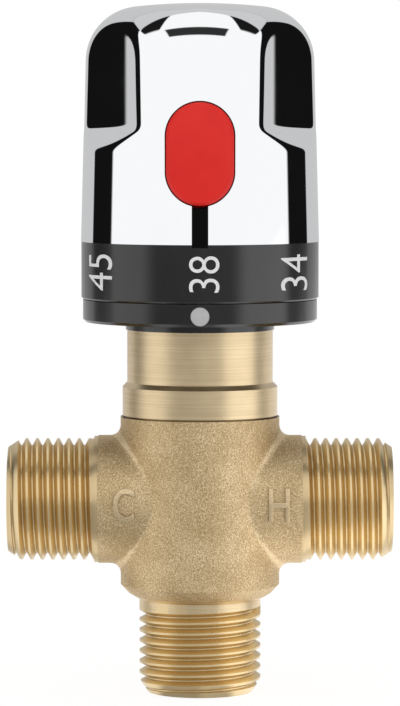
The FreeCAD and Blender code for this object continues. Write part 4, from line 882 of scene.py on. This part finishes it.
def obround_bar(width, height, middle, front, back):
    """An obround bar along Y, as wide and tall as given, its middle at this height."""
    bpy.ops.mesh.primitive_circle_add(vertices=96, radius=width / 2, fill_type="NGON",
                                      rotation=(math.pi / 2, 0, 0))
    bar = bpy.context.object
    bpy.ops.object.transform_apply(rotation=True)
    for vertex in bar.data.vertices:
        vertex.co.z += math.copysign((height - width) / 2, vertex.co.z) + middle
        vertex.co.y = front
    open_mesh(bar)
    bpy.ops.mesh.extrude_region_move(TRANSFORM_OT_translate={"value": (0, back - front, 0)})
    bpy.ops.mesh.select_all(action="SELECT")
    bpy.ops.mesh.normals_make_consistent(inside=False)
    leave()
    return bar


cut(cap, obround_bar(WINDOW_WIDE, WINDOW_TALL, WINDOW_MIDDLE, -24 * MM, -12 * MM))
bpy.ops.mesh.primitive_cube_add(size=1, location=SLOT_AT,
                                scale=(SLOT_WIDE, SLOT_DEEP, SLOT_TALL))
bpy.ops.object.transform_apply(location=True, scale=True)
cut(cap, bpy.context.object)
settle(cap, "chrome_cap", 32)
finish_piece(cap, "knob", "chrome", chrome, "knob_cap")

# %% [markdown]
# ## Mouldings, rubber and bare metal
#
# A moulded part takes its gloss from its mould, so it is never quite even: a slow cloud shifts
# its colour a little, and a fine grain changes its gloss and ripples its surface. Drawn steel
# and copper vary in the same two ways. So one recipe makes all of them, with other numbers.

# %% Clouded finishes
def clouded(name, colour, shade, gloss, cloud_size, grain_size, ripple, **settings):
    """A slow cloud of two colours under a fine grain; `gloss` is the range of roughness."""
    finish, tree, shader, place = start_finish(name, **settings)
    cloud = grain(tree, place, *cloud_size)
    tint = blend_colours(tree, cloud, [(0.3, shade), (0.7, colour)])
    tree.links.new(tint, shader.inputs["Base Color"])
    fine = grain(tree, place, grain_size, 2)
    tree.links.new(remap(tree, fine, 0, 1, *gloss), shader.inputs["Roughness"])
    roughen(tree, shader, fine, *ripple)
    return finish


def moulded(name, colour, shade, *gloss, shine=0.5):
    """A moulded plastic or rubber, a paint or an ink."""
    return clouded(name, colour, shade, gloss, (4 * MM, 2), 0.18 * MM, (0.006 * MM, 0.5),
                   Specular_IOR_Level=shine)


def bare_metal(name, colour, shade, *gloss):
    """A bare metal with uneven tone and gloss."""
    return clouded(name, colour, shade, gloss, (3 * MM, 3), 0.2 * MM, (0.01 * MM, 0.4),
                   Metallic=1.0)


def neutral(value):
    """A neutral grey."""
    return (value, value, value)


red = moulded("red moulding", (0.94, 0.026, 0.018), (0.88, 0.022, 0.015), 0.30, 0.40, shine=0.3)
black = moulded("black satin moulding", neutral(0.004), neutral(0.002), 0.14, 0.22, shine=0.85)
# Painted shade: a duller, darker black for what lies deep in the knob's slot.
slot_shade_black = moulded("black painted as slot shade", neutral(0.002), neutral(0.001), 0.5, 0.6, shine=0.08)
grey = moulded("grey moulding", (0.20, 0.20, 0.21), (0.16, 0.16, 0.17), 0.4, 0.5)
white = moulded("white moulding", (0.80, 0.80, 0.78), (0.74, 0.74, 0.72), 0.4, 0.5)
blue = moulded("blue moulding", (0.05, 0.14, 0.42), (0.04, 0.11, 0.34), 0.35, 0.45)
rubber = moulded("black rubber", neutral(0.016), neutral(0.010), 0.6, 0.75)
ink = moulded("white ink", neutral(0.98), neutral(0.95), 0.45, 0.55, shine=0.3)
dot_paint = moulded("pale grey paint", neutral(0.60), neutral(0.55), 0.45, 0.55)
steel = bare_metal("spring steel", (0.62, 0.62, 0.63), (0.48, 0.48, 0.50), 0.22, 0.36)
mesh_steel = bare_metal("strainer steel", neutral(0.66), (0.52, 0.52, 0.53), 0.3, 0.45)
copper = bare_metal("copper", (0.80, 0.42, 0.27), (0.62, 0.30, 0.19), 0.25, 0.4)
print("clouded finishes from", red.name, "to", copper.name)

# %% [markdown]
# ## The safety button
#
# A red moulded slider with an obround face that follows the knob's curve. The CAD piece already
# has its lip and tongue behind the wall. A copy of it gets a fine round edge from a Bevel
# modifier, because a moulded edge is never sharp and a soft highlight runs round it.

# %% The button
button = own_copy("safety_button", "red_button")
round_edges(button, 0.22 * MM, 3, sharper_than=25)
settle(button, "red_button", 50)
finish_piece(button, "button", "red_moulding", red, "safety_button")

# %% [markdown]
# ## The scale ring and the collar
#
# The ring turns with the knob and the collar stays with the casting. Both are satin black, and
# both come from the CAD. What stands above the ring's outer face lies deep in the knob's slot,
# where hardly any light falls, so it is painted a duller, darker black as shade. The collar's
# foot is drawn in and down, which makes the narrow hub that the collar stands on.

# %% Ring and collar
RING_LOW, RING_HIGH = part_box("scale_ring")
RING_FACE = 9.85 * MM
ring = settle(own_copy("scale_ring", "black_scale_ring"), "black_scale_ring", 30)
finish_piece(ring, "knob", "black_moulding", black, "scale_ring")
# Painted shade on the ring's faces above its outer face, deep in the slot.
ring.data.materials.append(slot_shade_black)
for face in ring.data.polygons:
    if face.center.z > RING_LOW.z + RING_FACE:
        face.material_index = 1

COLLAR_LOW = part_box("index_collar")[0]
HUB_WAS, HUB_NOW = (14.0 * MM, 14.4 * MM), 12.8 * MM
HUB_TALL, HUB_SOLE, HUB_DROP = 0.75 * MM, 0.05 * MM, 0.65 * MM
collar = own_copy("index_collar", "black_collar")
for corner in collar.data.vertices:
    if corner.co.z < COLLAR_LOW.z + HUB_TALL:
        away = math.hypot(corner.co.x, corner.co.y)
        if HUB_WAS[0] < away < HUB_WAS[1]:
            corner.co.x *= HUB_NOW / away
            corner.co.y *= HUB_NOW / away
        if corner.co.z < COLLAR_LOW.z + HUB_SOLE:
            corner.co.z -= HUB_DROP
settle(collar, "black_collar", 30)
finish_piece(collar, "root", "black_moulding", black, "index_collar")

# %% [markdown]
# ## The numbers and the pointer
#
# The numerals are printed on the ring, so each is a text bar cut down to a skin of ink a few
# hundredths of a millimetre thick. They read upwards, with 38 in front at the pointer's dot,
# which is a small painted button on the collar. Flat text laid on the ring would sink in at its
# middle or float at its ends.

# %% Numerals
SKIN_BELOW, SKIN_ABOVE = 0.05 * MM, 0.02 * MM
NUMERAL_LONG = 6.1 * MM
NUMERAL_Z = 73.0 * MM
# Words, degrees round the ring, height in millimetres, and how far the strokes are thinned.
NUMERALS = (("38", 2.0, 5.1, -0.008), ("45", -57.0, 7.5, -0.006),
            ("34", 52.5, 7.5, -0.006), ("30", 104.0, 7.5, -0.006))
for words, place_round, tall, weight in NUMERALS:
    numeral = text_bar(words, tall * MM, NUMERAL_LONG, 15 * MM, 23 * MM, weight)
    move(numeral, turn(-90, "Y"))
    ink_skin = shell(RING_HIGH.x - SKIN_BELOW, RING_HIGH.x + SKIN_ABOVE, 20 * MM)
    numeral = cut(numeral, ink_skin, "INTERSECT")
    move(numeral, turn(place_round, "Z"), shift(0, 0, NUMERAL_Z))
    settle(numeral, "numeral_" + words, 30)
    finish_piece(numeral, "knob", "white_moulding", ink)

# %% The pointer's dot
DOT_RADIUS, DOT_THICK, DOT_Z = 1.58 * MM, 0.3 * MM, 65.9 * MM
DOT_SUNK = 0.22 * MM
bpy.ops.mesh.primitive_cylinder_add(vertices=64, radius=DOT_RADIUS, depth=DOT_THICK,
                                    location=(0, COLLAR_LOW.y + DOT_SUNK, DOT_Z),
                                    rotation=(math.pi / 2, 0, 0))
dot = bpy.context.object
round_edges(dot, 0.05 * MM, 2, sharper_than=40)
settle(dot, "pointer_dot", 40)
finish_piece(dot, "root", "grey_moulding", dot_paint)

# %% [markdown]
# ## Strainers
#
# Behind each inlet's mouth sits a disc of woven wire that keeps grit out. A grid is trimmed to a
# round sheet and the Wireframe modifier turns its edges into wires, which is quicker than
# weaving them and looks the same at this size. A turned rim holds the wire.

# %% The strainers
MESHES_ACROSS = 22
WIRE = 0.2 * MM
MESH_SHARE, BORE_SHARE = 0.90, 0.86
for name, side in (("cold", -1), ("hot", 1)):
    low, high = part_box(name + "_strainer")
    radius = (high.y - low.y) / 2
    inner, outer = sorted((abs(low.x), abs(high.x)))
    centre_at = (0, 0, (outer + inner) / 2)
    bpy.ops.mesh.primitive_grid_add(x_subdivisions=MESHES_ACROSS, y_subdivisions=MESHES_ACROSS,
                                    size=2 * radius)
    sheet = bpy.context.object
    pick(sheet, lambda centre: math.hypot(centre.x, centre.y) > radius * MESH_SHARE)
    bpy.ops.mesh.delete(type="FACE")
    leave()
    apply(sheet, "WIREFRAME", thickness=WIRE, use_even_offset=False, use_replace=True)
    move(sheet, shift(0, 0, inner + WIRE))
    bpy.ops.mesh.primitive_cylinder_add(vertices=96, radius=radius, depth=outer - inner,
                                        location=centre_at)
    rim = settle(bpy.context.object, "rim", 40)
    bpy.ops.mesh.primitive_cylinder_add(vertices=96, radius=radius * BORE_SHARE, depth=3 * MM,
                                        location=centre_at)
    cut(rim, settle(bpy.context.object, "rim_bore", 40))
    round_edges(rim, 0.12 * MM, 2, sharper_than=50)
    only(rim)
    sheet.select_set(True)
    bpy.ops.object.join()
    strainer = move(bpy.context.object, turn(side * 90, "Y"), shift(0, 0, PORT_Z))
    settle(strainer, name + "_wire_strainer", 40)
    finish_piece(strainer, "root", "steel_mesh", mesh_steel, name + "_strainer")

# %% [markdown]
# ## The pieces inside
#
# The CAD pieces inside keep their shape and take the finish of what each is made of: turned
# brass for the bonnet and spindle, rubber for the rings, steel for the springs. Nothing is
# modelled twice: only their materials change.

# %% Finishes for the inner pieces
INSIDE = {
    turned_upright: ("bonnet", "spindle", "carrier_nut"),
    rubber: ("bonnet_oring", "spindle_oring", "shuttle_oring", "cold_check_oring",
             "hot_check_oring", "cold_poppet_washer", "hot_poppet_washer"),
    steel: ("spindle_snap_ring", "carrier_snap_ring", "overtravel_spring", "return_spring",
            "button_spring", "cold_check_spring", "hot_check_spring", "element_pin",
            "adapter_screw"),
    grey: ("stop_ring",),
    white: ("shuttle", "thrust_cup", "spline_adapter", "hot_check_housing", "hot_check_poppet"),
    blue: ("cold_check_housing", "cold_check_poppet"),
    copper: ("wax_element",),
}
for finish, nodes in INSIDE.items():
    for node in nodes:
        mesh = frame["nodes"][node].data
        mesh.materials.clear()
        mesh.materials.append(finish)
print("dressed", sum(len(nodes) for nodes in INSIDE.values()), "inner pieces")

# %% [markdown]
# ## The dressed valve's box
#
# The box that the dressed valve fills is printed, in millimetres. The dressed valve must
# fill the same box as the CAD model.

# %% Finish
low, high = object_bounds()
print("visual box in mm:", [round(c / MM, 2) for c in (high - low)])
